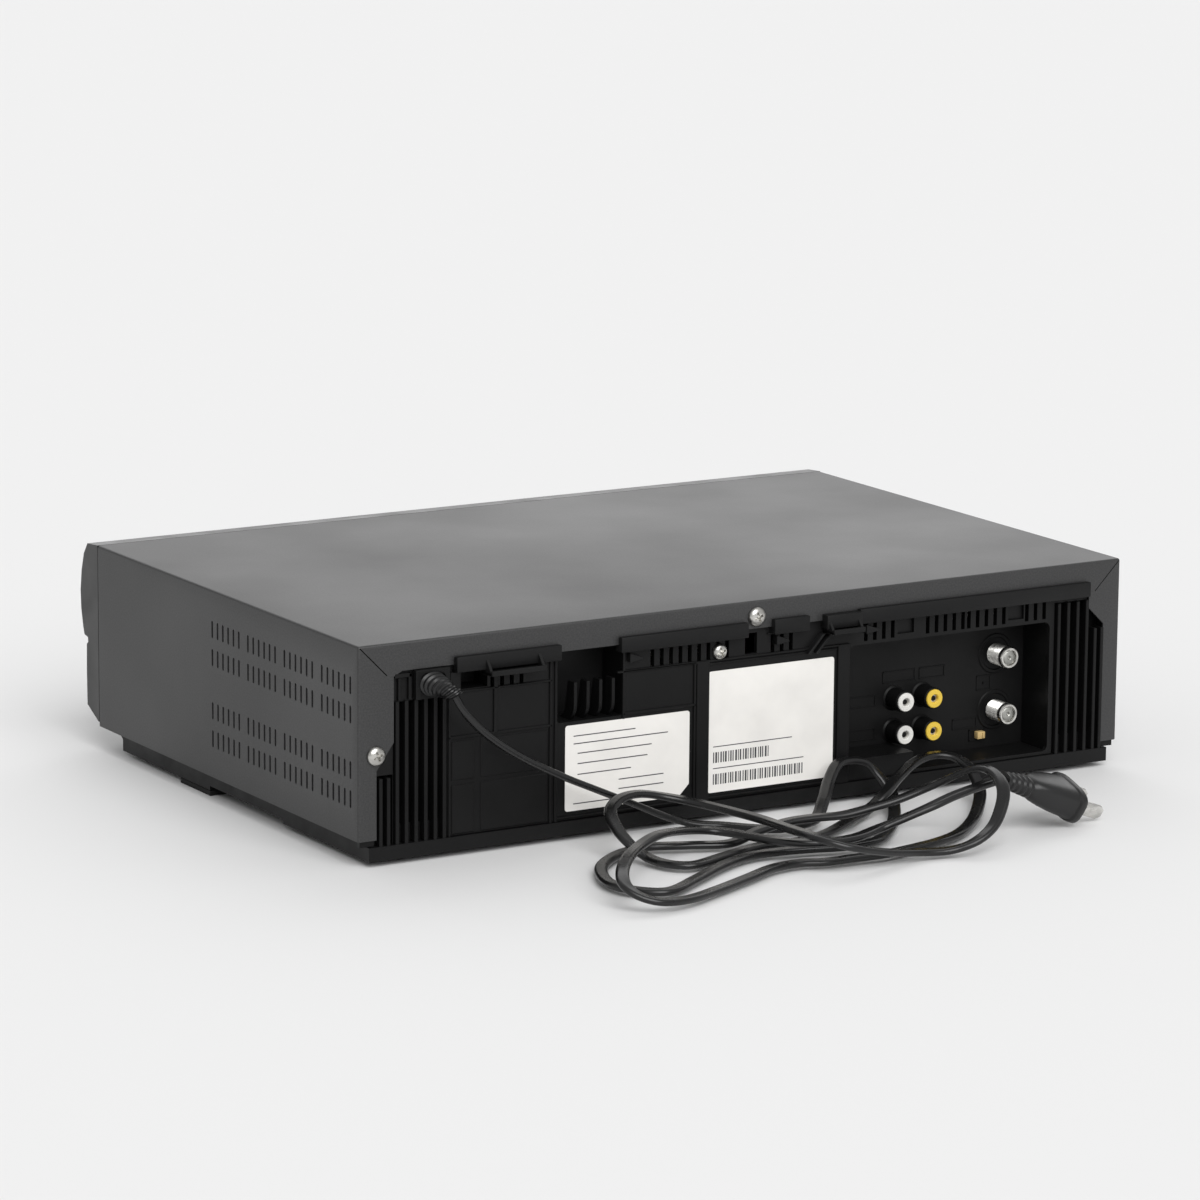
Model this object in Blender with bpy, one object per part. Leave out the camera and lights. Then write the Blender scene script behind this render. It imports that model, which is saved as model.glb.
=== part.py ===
"""A front-loading VHS video cassette recorder with its mains cord, built piece by piece.

Frame: X across, positive to the right seen from the front. The front faces -Y. Z is up, the floor is at zero.
The origin is the middle of the footprint of everything but the cord. All sizes are in metres.
"""
import math

import bmesh
import bpy
from mathutils import Matrix, Vector

# Seats and cuts
SEAT_GAP = 0.0003
RUNNING_GAP = 0.0005
SLIDE_GAP = 0.0008
OVERRUN = 0.002

# The case as a whole
COVER_WIDTH = 0.380
COVER_DEPTH = 0.240
COVER_HEIGHT = 0.0815
COVER_SHEET = 0.0010
FLOOR_TO_COVER = 0.0115
BEZEL_PROUD = 0.018
HOOK_PROUD = 0.008

HALF_WIDTH = COVER_WIDTH / 2
FRONT_Y = -(BEZEL_PROUD + COVER_DEPTH + HOOK_PROUD) / 2
REAR_Y = FRONT_Y + BEZEL_PROUD + COVER_DEPTH
COVER_FRONT_Y = FRONT_Y + BEZEL_PROUD
TOP_Z = FLOOR_TO_COVER + COVER_HEIGHT

# Rear lip of the cover
LIP_TOP = 0.012
LIP_SIDE_WIDE = 0.0165
LIP_SIDE_NARROW = 0.0085
LIP_NOTCH = 0.002
LIP_STEP_RIGHT = 0.0415
LIP_STEP_LEFT = 0.0206
LIP_STEP_DROP_RIGHT = 0.0111
LIP_STEP_DROP_LEFT = 0.0077

# Vent slots in both sides of the cover
SLOT_WIDTH = 0.0015
SLOT_HEIGHT = 0.0075
SLOT_PITCH = 0.0049
SLOT_GROUP_PITCH = 0.0328
SLOT_GROUPS = 4
SLOTS_PER_GROUP = 6
SLOT_REAR_MARGIN = 0.0058
SLOT_ROW_TOP = 0.0133
SLOT_ROW_PITCH = 0.0122
SLOT_PAIR_PITCH = 0.0353

# Base tray and feet
BASE_INSET = 0.005
FOOT_LIFT = 0.0025
BASE_FLOOR = 0.0025
BASE_WALL = 0.003
BASE_RIM_HEIGHT = 0.0135
BASE_FRONT_SET_BACK = 0.005
BASE_CHAMFER_DEPTH = 0.008
BASE_CHAMFER_HEIGHT = 0.0052
BASE_CHAMFER_TOP = 0.0103
BASE_RAIL_HEIGHT = 0.006
BASE_NOTCH_HEIGHT = 0.0038
BASE_NOTCH_WIDTH = 0.015
BASE_NOTCH_REAR = 0.075
FOOT_LENGTH = 0.028
FOOT_WIDTH = 0.025
FOOT_FRONT_REAR_EDGE = 0.1424
FOOT_REAR_REAR_EDGE = 0.047
FOOT_REAR_INSET = 0.010
POST_RADIUS = 0.004

# Rear panel
PANEL_SHEET = 0.0022
POCKET_WALL = 0.0015
RECESS_WIDTH_SHARE = 0.5516
RECESS_HEIGHT = 0.0500
RECESS_DEPTH = 0.021
RECESS_CENTRE_SHARE = -0.533
RECESS_TOP = 0.025
RECESS_FOOT_WIDTH_SHARE = 0.3721
RECESS_FOOT_HEIGHT = 0.0078
CAVITY_WIDTH_SHARE = 0.1668
CAVITY_HEIGHT = 0.030
CAVITY_DEPTH = 0.018
CAVITY_CENTRE_SHARE = 0.420
CAVITY_TOP = 0.0125
FIN_THICKNESS = 0.0013
FIN_COUNT = 4
FIN_HEIGHT = 0.014
RIB_THICKNESS = 0.0017
RIB_PROUD = 0.0016
RIB_LEFT_COUNT = 6
RIB_LEFT_PITCH = 0.0043
RIB_LEFT_TOP = 0.0245
RIB_LOWER_PITCH = 0.0036
RIB_LOWER_COUNT = 3
RIB_LOWER_TOP = 0.056
RIB_RIGHT_COUNT = 5
RIB_RIGHT_PITCH = 0.0050
RIB_RIGHT_TOP = 0.030
RIB_LEFT_INSET = 0.041
RIB_RIGHT_INSET = 0.032
RIB_FOOT = 0.0015
LEDGE_TOP = 0.0085
LEDGE_HEIGHT = 0.0065
LEDGE_PROUD = 0.003
LEDGE_SHARES = ((0.505, 0.766), (0.025, 0.354), (-0.137, -0.044), (-0.907, -0.272))
HOOK_SHARES = ((0.558, 0.695), (-0.268, -0.184))
HOOK_PLATE = 0.0015
HOOK_DROP = 0.009
HOOK_LIP = 0.0015
SLIT_WIDTH_SHARE = 0.00947
SLIT_HEIGHT = 0.008
SLIT_TOP = 0.0158
SLIT_PITCH_SHARE = 0.02421
SLIT_GROUP_SHARES = ((0.589, 4), (0.112, 7), (-0.105, 3), (-0.379, 4), (-0.571, 5), (-0.684, 5), (-0.797, 3))
POST_BAR_WIDTH = 0.006
POST_BAR_SHARES = (0.132, -0.242)
POST_BAR_TOP = 0.0235
PANEL_BOTTOM_GAP = 0.0003
INLET_WIDTH = 0.0155
INLET_HEIGHT = 0.0122
INLET_CENTRE_SHARE = 0.8224
INLET_PROUD = 0.0022
INLET_TOP = 0.0124

# Paper labels, left bare
LABEL_PAPER = 0.0002
RATING_LABEL_WIDTH_SHARE = 0.3184
RATING_LABEL_HEIGHT = 0.0365
RATING_LABEL_CENTRE_SHARE = 0.3242
RATING_LABEL_TOP = 0.0440
SERIAL_LABEL_WIDTH_SHARE = 0.3316
SERIAL_LABEL_HEIGHT = 0.0525
SERIAL_LABEL_CENTRE_SHARE = -0.0497
SERIAL_LABEL_TOP = 0.0285
LABEL_CORNER = 0.004

# Jacks and the channel switch
PHONO_RADIUS = 0.0041
PHONO_BORE = 0.0017
PHONO_LENGTH = 0.011
PHONO_PITCH_X = 0.0149
PHONO_PITCH_Z = 0.0145
PHONO_FIRST_SHARE = -0.4495
PHONO_TOP = 0.0555
PHONO_BLOCK_DEPTH = 0.008
PHONO_BLOCK_EDGE = 0.008
AERIAL_RADIUS = 0.0047
AERIAL_BORE = 0.0012
AERIAL_LENGTH = 0.011
AERIAL_SHARE = -0.7300
AERIAL_TOP = 0.0412
AERIAL_PITCH = 0.0252
CAN_WIDTH = 0.044
CAN_DEPTH = 0.040
CAN_FLOOR = 0.0265
SWITCH_WIDTH = 0.004
SWITCH_HEIGHT = 0.003
SWITCH_PROUD = 0.003
SWITCH_TRAVEL = 0.002
SWITCH_SHARE = -0.688
SWITCH_TOP = 0.0768
SWITCH_STEM = 0.0018

# Screws
SCREW_HEAD_RADIUS = 0.0041
SCREW_HEAD_HEIGHT = 0.0022
SCREW_SHANK_RADIUS = 0.0014
SCREW_LENGTH = 0.008
SCREW_SIDE_DROP = 0.0461
SCREW_SIDE_INSET = 0.0081
SCREW_TOP_DROP = 0.0068
SCREW_TOP_SHARE = -0.0032
PANEL_SCREW_DROP = 0.0202
PANEL_SCREW_SHARE = 0.089

# Front bezel, as shares of its depth and height from the lower rear edge
BEZEL_WALL = 0.0025
BEZEL_BOTTOM_GAP = 0.0019
BEZEL_JOINT = 0.0004
BEZEL_PROFILE_SHARES = ((0.583, 0.991), (0.794, 0.926), (0.928, 0.827), (1.000, 0.711), (0.972, 0.608),
                        (0.872, 0.509), (0.806, 0.466), (0.611, 0.457), (0.600, 0.430), (0.678, 0.417),
                        (0.694, 0.271), (0.678, 0.072), (0.067, 0.000))
TONGUE_LENGTH = 0.005
TONGUE_WALL = 0.0012
DOOR_MARGIN = 0.006
DOOR_HEIGHT = 0.0308
DOOR_THICKNESS = 0.0022
DOOR_BOTTOM = 0.0386
DOOR_AXIS_DEPTH = 0.0060
DOOR_AXIS_DROP = 0.0012
DOOR_PIN_RADIUS = 0.0010
DOOR_PIN_LENGTH = 0.0025
EAR_THICKNESS = 0.0032
EAR_SIZE = 0.0060
WINDOW_WIDTH = 0.110
WINDOW_HEIGHT = 0.016
WINDOW_THICKNESS = 0.002
WINDOW_PROUD = 0.0004
WINDOW_CENTRE_SHARE = 0.500
WINDOW_MIDDLE = 0.0205
BUTTON_PROUD = 0.0012
BUTTON_DEPTH = 0.0040
BUTTON_TRAVEL = 0.0012
BUTTON_STEM = 0.003
BUTTON_HEIGHT = 0.006
BUTTON_EDGE = 0.0006
BUTTON_WIDE = 0.024
BUTTON_NARROW = 0.013
BUTTON_ROW_LOW = 0.0140
BUTTON_ROW_HIGH = 0.0255

# Boards
BOARD_THICKNESS = 0.0016
BOARD_LEVEL = 0.020
BOARD_MARGIN = 0.006
BOARD_EDGE = 0.0065
MAIN_BOARD_LENGTH = 0.190
POWER_BOARD_LENGTH = 0.100
BOARD_REAR = 0.033
FRONT_BOARD_MARGIN = 0.014
FRONT_BOARD_HEIGHT = 0.028
FRONT_BOARD_BEHIND = 0.0060
PILLAR_RADIUS = 0.0025
PILLAR_SHARES = (-0.87, -0.28, 0.15, 0.87)
TRANSFORMER_SIZE = 0.032
TRANSFORMER_HEIGHT = 0.028
TRANSFORMER_FOOT = 0.004
CAPACITOR_RADIUS = 0.009
CAPACITOR_HEIGHT = 0.030

# Tape deck
DECK_LEVEL = 0.018
DECK_SHEET = 0.0012
DECK_MARGIN = 0.002
DECK_FRONT = -0.103
DECK_REAR = 0.0925
REEL_SPACING = 0.092
REEL_Y = -0.043
REEL_RADIUS = 0.0185
REEL_DISC = 0.003
REEL_HUB_RADIUS = 0.0050
REEL_HEIGHT = 0.013
DRUM_Y = 0.062
DRUM_RADIUS = 0.031
DRUM_LOWER_HEIGHT = 0.018
DRUM_UPPER_HEIGHT = 0.014
DRUM_BASE_LIFT = 0.006
DRUM_TILT = math.radians(5.9)
DRUM_SHAFT_RADIUS = 0.003
DRUM_SHAFT_HEIGHT = 0.004
DRUM_SEAT_RADIUS = 0.012
CAPSTAN_X = 0.066
CAPSTAN_Y = 0.038
CAPSTAN_RADIUS = 0.0015
CAPSTAN_HEIGHT = 0.026
FLYWHEEL_RADIUS = 0.020
FLYWHEEL_THICKNESS = 0.005
FLYWHEEL_DROP = 0.0075
BEARING_RADIUS = 0.005
BEARING_HEIGHT = 0.007
PINCH_PIVOT_X = 0.086
PINCH_PIVOT_Y = 0.030
PINCH_ARM_LENGTH = 0.018
PINCH_ARM_WIDTH = 0.006
PINCH_ARM_THICKNESS = 0.002
PINCH_LEVEL = 0.010
PINCH_ROLLER_RADIUS = 0.0062
PINCH_ROLLER_HEIGHT = 0.013
PINCH_PIN_RADIUS = 0.0015
PINCH_SWING = math.radians(40.0)
POST_SLOT_START_X = 0.030
POST_SLOT_START_Y = 0.005
POST_SLOT_END_X = 0.044
POST_SLOT_END_Y = 0.066
POST_BASE_LENGTH = 0.012
POST_BASE_WIDTH = 0.009
POST_BASE_HEIGHT = 0.005
POST_PIN_RADIUS = 0.0018
POST_PIN_HEIGHT = 0.022
SLOT_CLEARANCE = 0.0006
TENSION_X = -0.076
TENSION_Y = 0.024
TENSION_LENGTH = 0.022
TENSION_LEVEL = 0.006
HEAD_WIDTH = 0.012
HEAD_DEPTH = 0.008
HEAD_HEIGHT = 0.020
ERASE_HEAD_X = -0.062
ERASE_HEAD_Y = 0.048
AUDIO_HEAD_X = 0.066
AUDIO_HEAD_Y = 0.062
CAM_X = -0.082
CAM_Y = 0.066
CAM_RADIUS = 0.014
CAM_THICKNESS = 0.0105
CAM_TEETH = 24
CAM_TOOTH = 0.0015
MOTOR_RADIUS = 0.0085
MOTOR_LENGTH = 0.026
MOTOR_GAP = 0.0145
WORM_RADIUS = 0.003
IDLER_Y = -0.020
IDLER_ARM_LENGTH = 0.026
IDLER_ARM_WIDTH = 0.008
IDLER_ARM_THICKNESS = 0.0015
IDLER_GEAR_RADIUS = 0.018
IDLER_GEAR_THICKNESS = 0.004
CLUTCH_RADIUS = 0.012
CLUTCH_THICKNESS = 0.004
BELT_THICKNESS = 0.0012
BELT_WIDTH = 0.002
PULLEY_RADIUS = 0.008
PULLEY_THICKNESS = 0.004

# Cassette carriage
CASSETTE_WIDTH = 0.188
CASSETTE_HEIGHT = 0.025
CASSETTE_PLAY = 0.001
BASKET_DEPTH = 0.044
BASKET_SHEET = 0.0010
BASKET_LIP = 0.008
BASKET_STOP = 0.004
BASKET_FRONT = 0.036
SLIDER_SHEET = 0.0012
SIDE_SHEET = 0.0012
SIDE_HEIGHT = 0.064
SIDE_REAR = 0.016
SIDE_FRONT = -0.097

# Mains cord and its plug, lying behind the recorder
CORD_RADIUS = 0.0021
CORD_STEP = 0.0092
BOOT_BASE_RADIUS = 0.0062
BOOT_TIP_RADIUS = 0.0040
BOOT_NECK_RADIUS = 0.0042
BOOT_INSIDE = 0.010
BOOT_RIBS = 5
BOOT_RIB_DEPTH = 0.0006
BOOT_BEND_SHARE = 0.5
BOOT_TIP = Vector((0.1532, 0.1384, 0.0722))
LEAD_ROUTE = ((0.1530, 0.1390, 0.0717), (0.149, 0.141, 0.064), (0.142, 0.1415, 0.0565), (0.133, 0.141, 0.0495),
              (0.122, 0.140, 0.0425), (0.110, 0.139, 0.036), (0.098, 0.138, 0.030), (0.086, 0.137, 0.0245),
              (0.074, 0.136, 0.019), (0.062, 0.135, 0.0135), (0.050, 0.1355, 0.0080), (0.038, 0.139, 0.0040),
              (0.027, 0.144, 0.003))
BUNDLE_ROUTE = (
    (0.0185, 0.1535, 0.003), (0.0095, 0.1605, 0.003), (0.0, 0.1625, 0.004), (-0.012, 0.156, 0.004),
    (-0.021, 0.148, 0.0095), (-0.0295, 0.139, 0.0145), (-0.0375, 0.133, 0.0195), (-0.045, 0.131, 0.02),
    (-0.0535, 0.131, 0.018), (-0.058, 0.1335, 0.013), (-0.0605, 0.139, 0.0075), (-0.056, 0.149, 0.0038),
    (-0.039, 0.174, 0.0033), (-0.0195, 0.194, 0.003), (-0.0075, 0.199, 0.003), (0.004, 0.1985, 0.003),
    (0.017, 0.195, 0.003), (0.031, 0.1925, 0.003), (0.0465, 0.1935, 0.003), (0.0635, 0.201, 0.003),
    (0.083, 0.2135, 0.003), (0.102, 0.2245, 0.003), (0.1125, 0.219, 0.003), (0.117, 0.207, 0.003),
    (0.1155, 0.1955, 0.003), (0.1085, 0.181, 0.003), (0.0995, 0.171, 0.003), (0.0875, 0.163, 0.003),
    (0.073, 0.1595, 0.003), (0.0575, 0.1665, 0.0033), (0.041, 0.172, 0.0033), (0.027, 0.171, 0.0065),
    (0.012, 0.1705, 0.0085), (0.0, 0.1715, 0.009), (-0.013, 0.1735, 0.009), (-0.0245, 0.176, 0.011),
    (-0.0365, 0.1795, 0.014), (-0.0465, 0.1835, 0.018), (-0.0545, 0.189, 0.0225), (-0.0595, 0.197, 0.0275),
    (-0.063, 0.205, 0.03), (-0.0645, 0.2125, 0.028), (-0.0625, 0.22, 0.024), (-0.058, 0.225, 0.018),
    (-0.051, 0.229, 0.0115), (-0.0415, 0.23, 0.0065), (-0.032, 0.226, 0.0033), (-0.0175, 0.224, 0.0038),
    (0.001, 0.2275, 0.007), (0.02, 0.2295, 0.012), (0.0295, 0.22, 0.015), (0.0315, 0.2015, 0.015),
    (0.033, 0.1825, 0.015), (0.0375, 0.1665, 0.0155), (0.044, 0.153, 0.0165), (0.054, 0.144, 0.0185),
    (0.0665, 0.142, 0.021), (0.0775, 0.144, 0.0205), (0.0855, 0.15, 0.0175), (0.088, 0.159, 0.013),
    (0.0875, 0.168, 0.0085), (0.083, 0.175, 0.0035), (0.0805, 0.1875, 0.003), (0.072, 0.194, 0.003),
    (0.055, 0.1885, 0.003), (0.034, 0.1815, 0.003), (0.0195, 0.182, 0.003), (0.0075, 0.181, 0.003),
    (-0.0065, 0.175, 0.003), (-0.024, 0.1635, 0.0033), (-0.039, 0.154, 0.0038), (-0.049, 0.152, 0.0093),
    (-0.062, 0.143, 0.013), (-0.0755, 0.134, 0.0155), (-0.085, 0.131, 0.017), (-0.093, 0.132, 0.017),
    (-0.098, 0.137, 0.0155), (-0.099, 0.146, 0.0115), (-0.095, 0.157, 0.006), (-0.082, 0.174, 0.0035),
    (-0.0665, 0.191, 0.003), (-0.051, 0.204, 0.003), (-0.036, 0.211, 0.003), (-0.0195, 0.215, 0.003),
    (-0.0055, 0.217, 0.003), (0.008, 0.2165, 0.003), (0.0225, 0.216, 0.003), (0.0325, 0.2125, 0.003),
    (0.0465, 0.214, 0.003), (0.064, 0.2225, 0.003), (0.085, 0.2325, 0.003), (0.103, 0.2405, 0.0035),
    (0.117, 0.242, 0.0045), (0.125, 0.238, 0.007), (0.128, 0.232, 0.0105), (0.1235, 0.2225, 0.0135),
    (0.1125, 0.209, 0.015), (0.098, 0.195, 0.015), (0.084, 0.185, 0.015), (0.066, 0.1735, 0.012),
    (0.0515, 0.1705, 0.0098), (0.0435, 0.176, 0.009), (0.039, 0.186, 0.009), (0.0345, 0.1965, 0.009),
    (0.0275, 0.204, 0.009), (0.0165, 0.2085, 0.009), (0.003, 0.208, 0.009), (-0.0125, 0.202, 0.0095),
    (-0.0225, 0.2045, 0.013), (-0.034, 0.208, 0.0175), (-0.0465, 0.207, 0.0205), (-0.061, 0.205, 0.0225),
    (-0.0715, 0.2055, 0.0243))
PLUG_START = Vector((-0.0718, 0.2060, 0.0244))
PLUG_AXIS = Vector((-0.932, -0.127, -0.340))
PLUG_ROLL = math.radians(20.0)
PLUG_RELIEF_LENGTH = 0.015
PLUG_RELIEF_RADIUS = 0.0042
PLUG_RELIEF_RIBS = 4
PLUG_BODY_LENGTH = 0.025
PLUG_WIDTH = 0.026
PLUG_THICKNESS = 0.0155
PLUG_NECK_SHARE = 0.42
PLUG_RIM = 0.004
PLUG_CORNER_SHARE = 0.30
PLUG_RELIEF_GROWTH_SHARE = 0.25
PLUG_RELIEF_SHARES = (1.2, 0.9)
PLUG_NECK_THICKNESS_SHARE = 0.62
PLUG_FLARE_SHARES = (0.80, 0.86)
PLUG_RIM_SHARES = (0.25, 0.8)
BLADE_LENGTH = 0.0160
BLADE_WIDE = 0.0079
BLADE_NARROW = 0.0063
BLADE_THICKNESS = 0.0015
BLADE_SPACING = 0.0127
BLADE_HOLE = 0.0016
BLADE_SOCKET = 0.002


def clear_scene():
    for item in list(bpy.data.objects):
        bpy.data.objects.remove(item, do_unlink=True)


def material(name, colour, roughness, metallic=0.0):
    """A Principled BSDF of one colour, made once for each name."""
    found = bpy.data.materials.get(name)
    if found:
        return found
    made = bpy.data.materials.new(name)
    made.use_nodes = True
    shader = made.node_tree.nodes["Principled BSDF"]
    shader.inputs["Base Color"].default_value = (*colour, 1.0)
    shader.inputs["Roughness"].default_value = roughness
    shader.inputs["Metallic"].default_value = metallic
    return made


def grey_paint():
    return material("grey_paint", (0.20, 0.20, 0.205), 0.45)


def black_plastic():
    return material("black_plastic", (0.022, 0.022, 0.023), 0.50)


def bright_steel():
    return material("bright_steel", (0.62, 0.62, 0.60), 0.30, 1.0)


def zinc_steel():
    return material("zinc_steel", (0.48, 0.48, 0.45), 0.40, 1.0)


def board_green():
    return material("board_green", (0.05, 0.14, 0.05), 0.60)


def white_plastic():
    return material("white_plastic", (0.72, 0.72, 0.70), 0.45)


def paper():
    return material("paper", (0.80, 0.79, 0.76), 0.70)


def rubber():
    return material("rubber", (0.015, 0.015, 0.015), 0.75)


def smoked_lens():
    return material("smoked_lens", (0.010, 0.010, 0.012), 0.10)


def tan_plastic():
    return material("tan_plastic", (0.42, 0.30, 0.18), 0.50)


def copper_tape():
    return material("copper_tape", (0.55, 0.40, 0.10), 0.50)


def vinyl():
    return material("vinyl", (0.030, 0.030, 0.031), 0.40)


def corners(low, high):
    """The middle and size of a box that is given by two opposite corners."""
    low, high = Vector(low), Vector(high)
    return (low + high) / 2, high - low


def blocks(*pairs):
    """One mesh of separate boxes, each given as (low corner, high corner)."""
    shape = bmesh.new()
    for low, high in pairs:
        middle, size = corners(low, high)
        place = Matrix.Translation(middle) @ Matrix.Diagonal((*size, 1.0))
        bmesh.ops.create_cube(shape, size=1.0, matrix=place)
    return shape


def prism(outline, axis, start, end):
    """A closed outline pushed along one axis. The outline gives the two other coordinates in X, Y, Z order."""
    shape = bmesh.new()

    def point(pair, along):
        values = list(pair)
        values.insert(axis, along)
        return values

    ring = [shape.verts.new(point(pair, start)) for pair in outline]
    face = shape.faces.new(ring)
    pushed = bmesh.ops.extrude_face_region(shape, geom=[face])["geom"]
    moved = [item for item in pushed if isinstance(item, bmesh.types.BMVert)]
    step = [0.0, 0.0, 0.0]
    step[axis] = end - start
    bmesh.ops.translate(shape, verts=moved, vec=step)
    bmesh.ops.recalc_face_normals(shape, faces=shape.faces)
    return shape


def turned(profile, steps=24, place=None):
    """A solid of revolution about Z from (radius, height) pairs, bottom to top, closed on the axis."""
    shape = bmesh.new()
    line = [shape.verts.new((radius, 0.0, height)) for radius, height in profile]
    edges = [shape.edges.new(pair) for pair in zip(line, line[1:])]
    bmesh.ops.spin(shape, geom=line + edges, cent=(0, 0, 0), axis=(0, 0, 1), angle=math.tau, steps=steps,
                   use_merge=True)
    bmesh.ops.remove_doubles(shape, verts=shape.verts, dist=SEAT_GAP / 30)
    bmesh.ops.recalc_face_normals(shape, faces=shape.faces)
    if place:
        bmesh.ops.transform(shape, matrix=place, verts=shape.verts)
    return shape


def cylinder(radius, low, high, steps=24, place=None):
    return turned(((0.0, low), (radius, low), (radius, high), (0.0, high)), steps, place)


def tube(outer, inner, low, high, steps=24, place=None):
    """A ring with a square section, as a closed profile turned about Z."""
    shape = bmesh.new()
    profile = ((inner, low), (outer, low), (outer, high), (inner, high))
    line = [shape.verts.new((radius, 0.0, height)) for radius, height in profile]
    edges = [shape.edges.new((line[i], line[(i + 1) % 4])) for i in range(4)]
    bmesh.ops.spin(shape, geom=line + edges, cent=(0, 0, 0), axis=(0, 0, 1), angle=math.tau, steps=steps,
                   use_merge=True)
    bmesh.ops.remove_doubles(shape, verts=shape.verts, dist=SEAT_GAP / 30)
    bmesh.ops.recalc_face_normals(shape, faces=shape.faces)
    if place:
        bmesh.ops.transform(shape, matrix=place, verts=shape.verts)
    return shape


def at(x, y, z):
    return Matrix.Translation((x, y, z))


def along_y(x, y, z):
    """A place whose local Z points to the rear."""
    return at(x, y, z) @ Matrix.Rotation(-math.pi / 2, 4, "X")


def along_x(x, y, z):
    return at(x, y, z) @ Matrix.Rotation(math.pi / 2, 4, "Y")


def solid(name, shape, look, origin=(0.0, 0.0, 0.0), smooth=False):
    """Turn a mesh in world coordinates into a named object with its origin at the given point."""
    origin = Vector(origin)
    bmesh.ops.translate(shape, verts=shape.verts, vec=-origin)
    mesh = bpy.data.meshes.new(name)
    shape.to_mesh(mesh)
    shape.free()
    mesh.materials.append(look)
    if smooth:
        mesh.shade_smooth()
        mesh.set_sharp_from_angle(angle=math.radians(35.0))
    made = bpy.data.objects.new(name, mesh)
    made.location = origin
    bpy.context.scene.collection.objects.link(made)
    return made


def combine(body, shape, operation):
    """Cut a shape out of a body, or join it on, with a Boolean modifier and a hidden tool object."""
    number = len(body.modifiers) + 1
    tool = solid(f"{body.name}_tool_{number}", shape, body.data.materials[0])
    tool.hide_render = True
    tool.display_type = "WIRE"
    step = body.modifiers.new(f"{operation.lower()}_{number}", "BOOLEAN")
    step.operation = operation
    step.solver = "EXACT"
    step.object = tool
    return body


def cut(body, shape):
    return combine(body, shape, "DIFFERENCE")


def join(body, shape):
    return combine(body, shape, "UNION")


def add_to(gathered, shape):
    """Add one mesh to another, as a separate shell."""
    spare = bpy.data.meshes.new("spare")
    shape.to_mesh(spare)
    gathered.from_mesh(spare)
    bpy.data.meshes.remove(spare)
    shape.free()


def mirrored_pair(low, high):
    """A box and its mirror image in X."""
    twin_low = (-high[0], low[1], low[2])
    twin_high = (-low[0], high[1], high[2])
    return (low, high), (twin_low, twin_high)


# Levels and faces that several pieces share
INNER_HALF = HALF_WIDTH - COVER_SHEET
PANEL_FACE_Y = REAR_Y - COVER_SHEET - SEAT_GAP
PANEL_BACK_Y = PANEL_FACE_Y - PANEL_SHEET
BASE_HALF = HALF_WIDTH - BASE_INSET
BASE_TOP_Z = FOOT_LIFT + BASE_RIM_HEIGHT
BASE_FLOOR_Z = FOOT_LIFT + BASE_FLOOR
RAIL_TOP_Z = FOOT_LIFT + BASE_RAIL_HEIGHT
BEZEL_BACK_Y = COVER_FRONT_Y - BEZEL_JOINT
BEZEL_BOTTOM_Z = FLOOR_TO_COVER + BEZEL_BOTTOM_GAP
BEZEL_HEIGHT = TOP_Z - BEZEL_BOTTOM_Z
RECESS_X = RECESS_CENTRE_SHARE * HALF_WIDTH
RECESS_WIDTH = RECESS_WIDTH_SHARE * HALF_WIDTH
RECESS_FOOT_WIDTH = RECESS_FOOT_WIDTH_SHARE * HALF_WIDTH
RECESS_FLOOR_Y = REAR_Y - RECESS_DEPTH
RECESS_TOP_Z = TOP_Z - RECESS_TOP
RECESS_BOTTOM_Z = RECESS_TOP_Z - RECESS_HEIGHT
CAVITY_WIDTH = CAVITY_WIDTH_SHARE * HALF_WIDTH
SLIT_WIDTH = SLIT_WIDTH_SHARE * HALF_WIDTH
SLIT_PITCH = SLIT_PITCH_SHARE * HALF_WIDTH
RIB_LEFT_FIRST = HALF_WIDTH - RIB_LEFT_INSET
RIB_RIGHT_FIRST = HALF_WIDTH - RIB_RIGHT_INSET
RATING_LABEL_WIDTH = RATING_LABEL_WIDTH_SHARE * HALF_WIDTH
SERIAL_LABEL_WIDTH = SERIAL_LABEL_WIDTH_SHARE * HALF_WIDTH
DECK_TOP_Z = DECK_LEVEL + DECK_SHEET
BASKET_HALF = CASSETTE_WIDTH / 2 + CASSETTE_PLAY
BASKET_OUTER = BASKET_HALF + BASKET_SHEET
SLIDER_OUTER = BASKET_OUTER + SLIDE_GAP + SLIDER_SHEET
SIDE_OUTER = SLIDER_OUTER + SLIDE_GAP + SIDE_SHEET
DECK_WIDTH = 2 * (SIDE_OUTER + DECK_MARGIN)
BOARD_WIDTH = BASE_HALF - BASE_WALL - DECK_WIDTH / 2 - BOARD_MARGIN
FRONT_BOARD_WIDTH = 2 * (INNER_HALF - FRONT_BOARD_MARGIN)
DOOR_WIDTH = CASSETTE_WIDTH + 2 * DOOR_MARGIN
BASKET_TOP_Z = TOP_Z - COVER_SHEET - OVERRUN - SLIDER_SHEET - 2 * SLIDE_GAP
BASKET_BOTTOM_Z = BASKET_TOP_Z - CASSETTE_HEIGHT - 2 * CASSETTE_PLAY - 2 * BASKET_SHEET
BASKET_FRONT_Y = FRONT_Y + BASKET_FRONT


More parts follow.
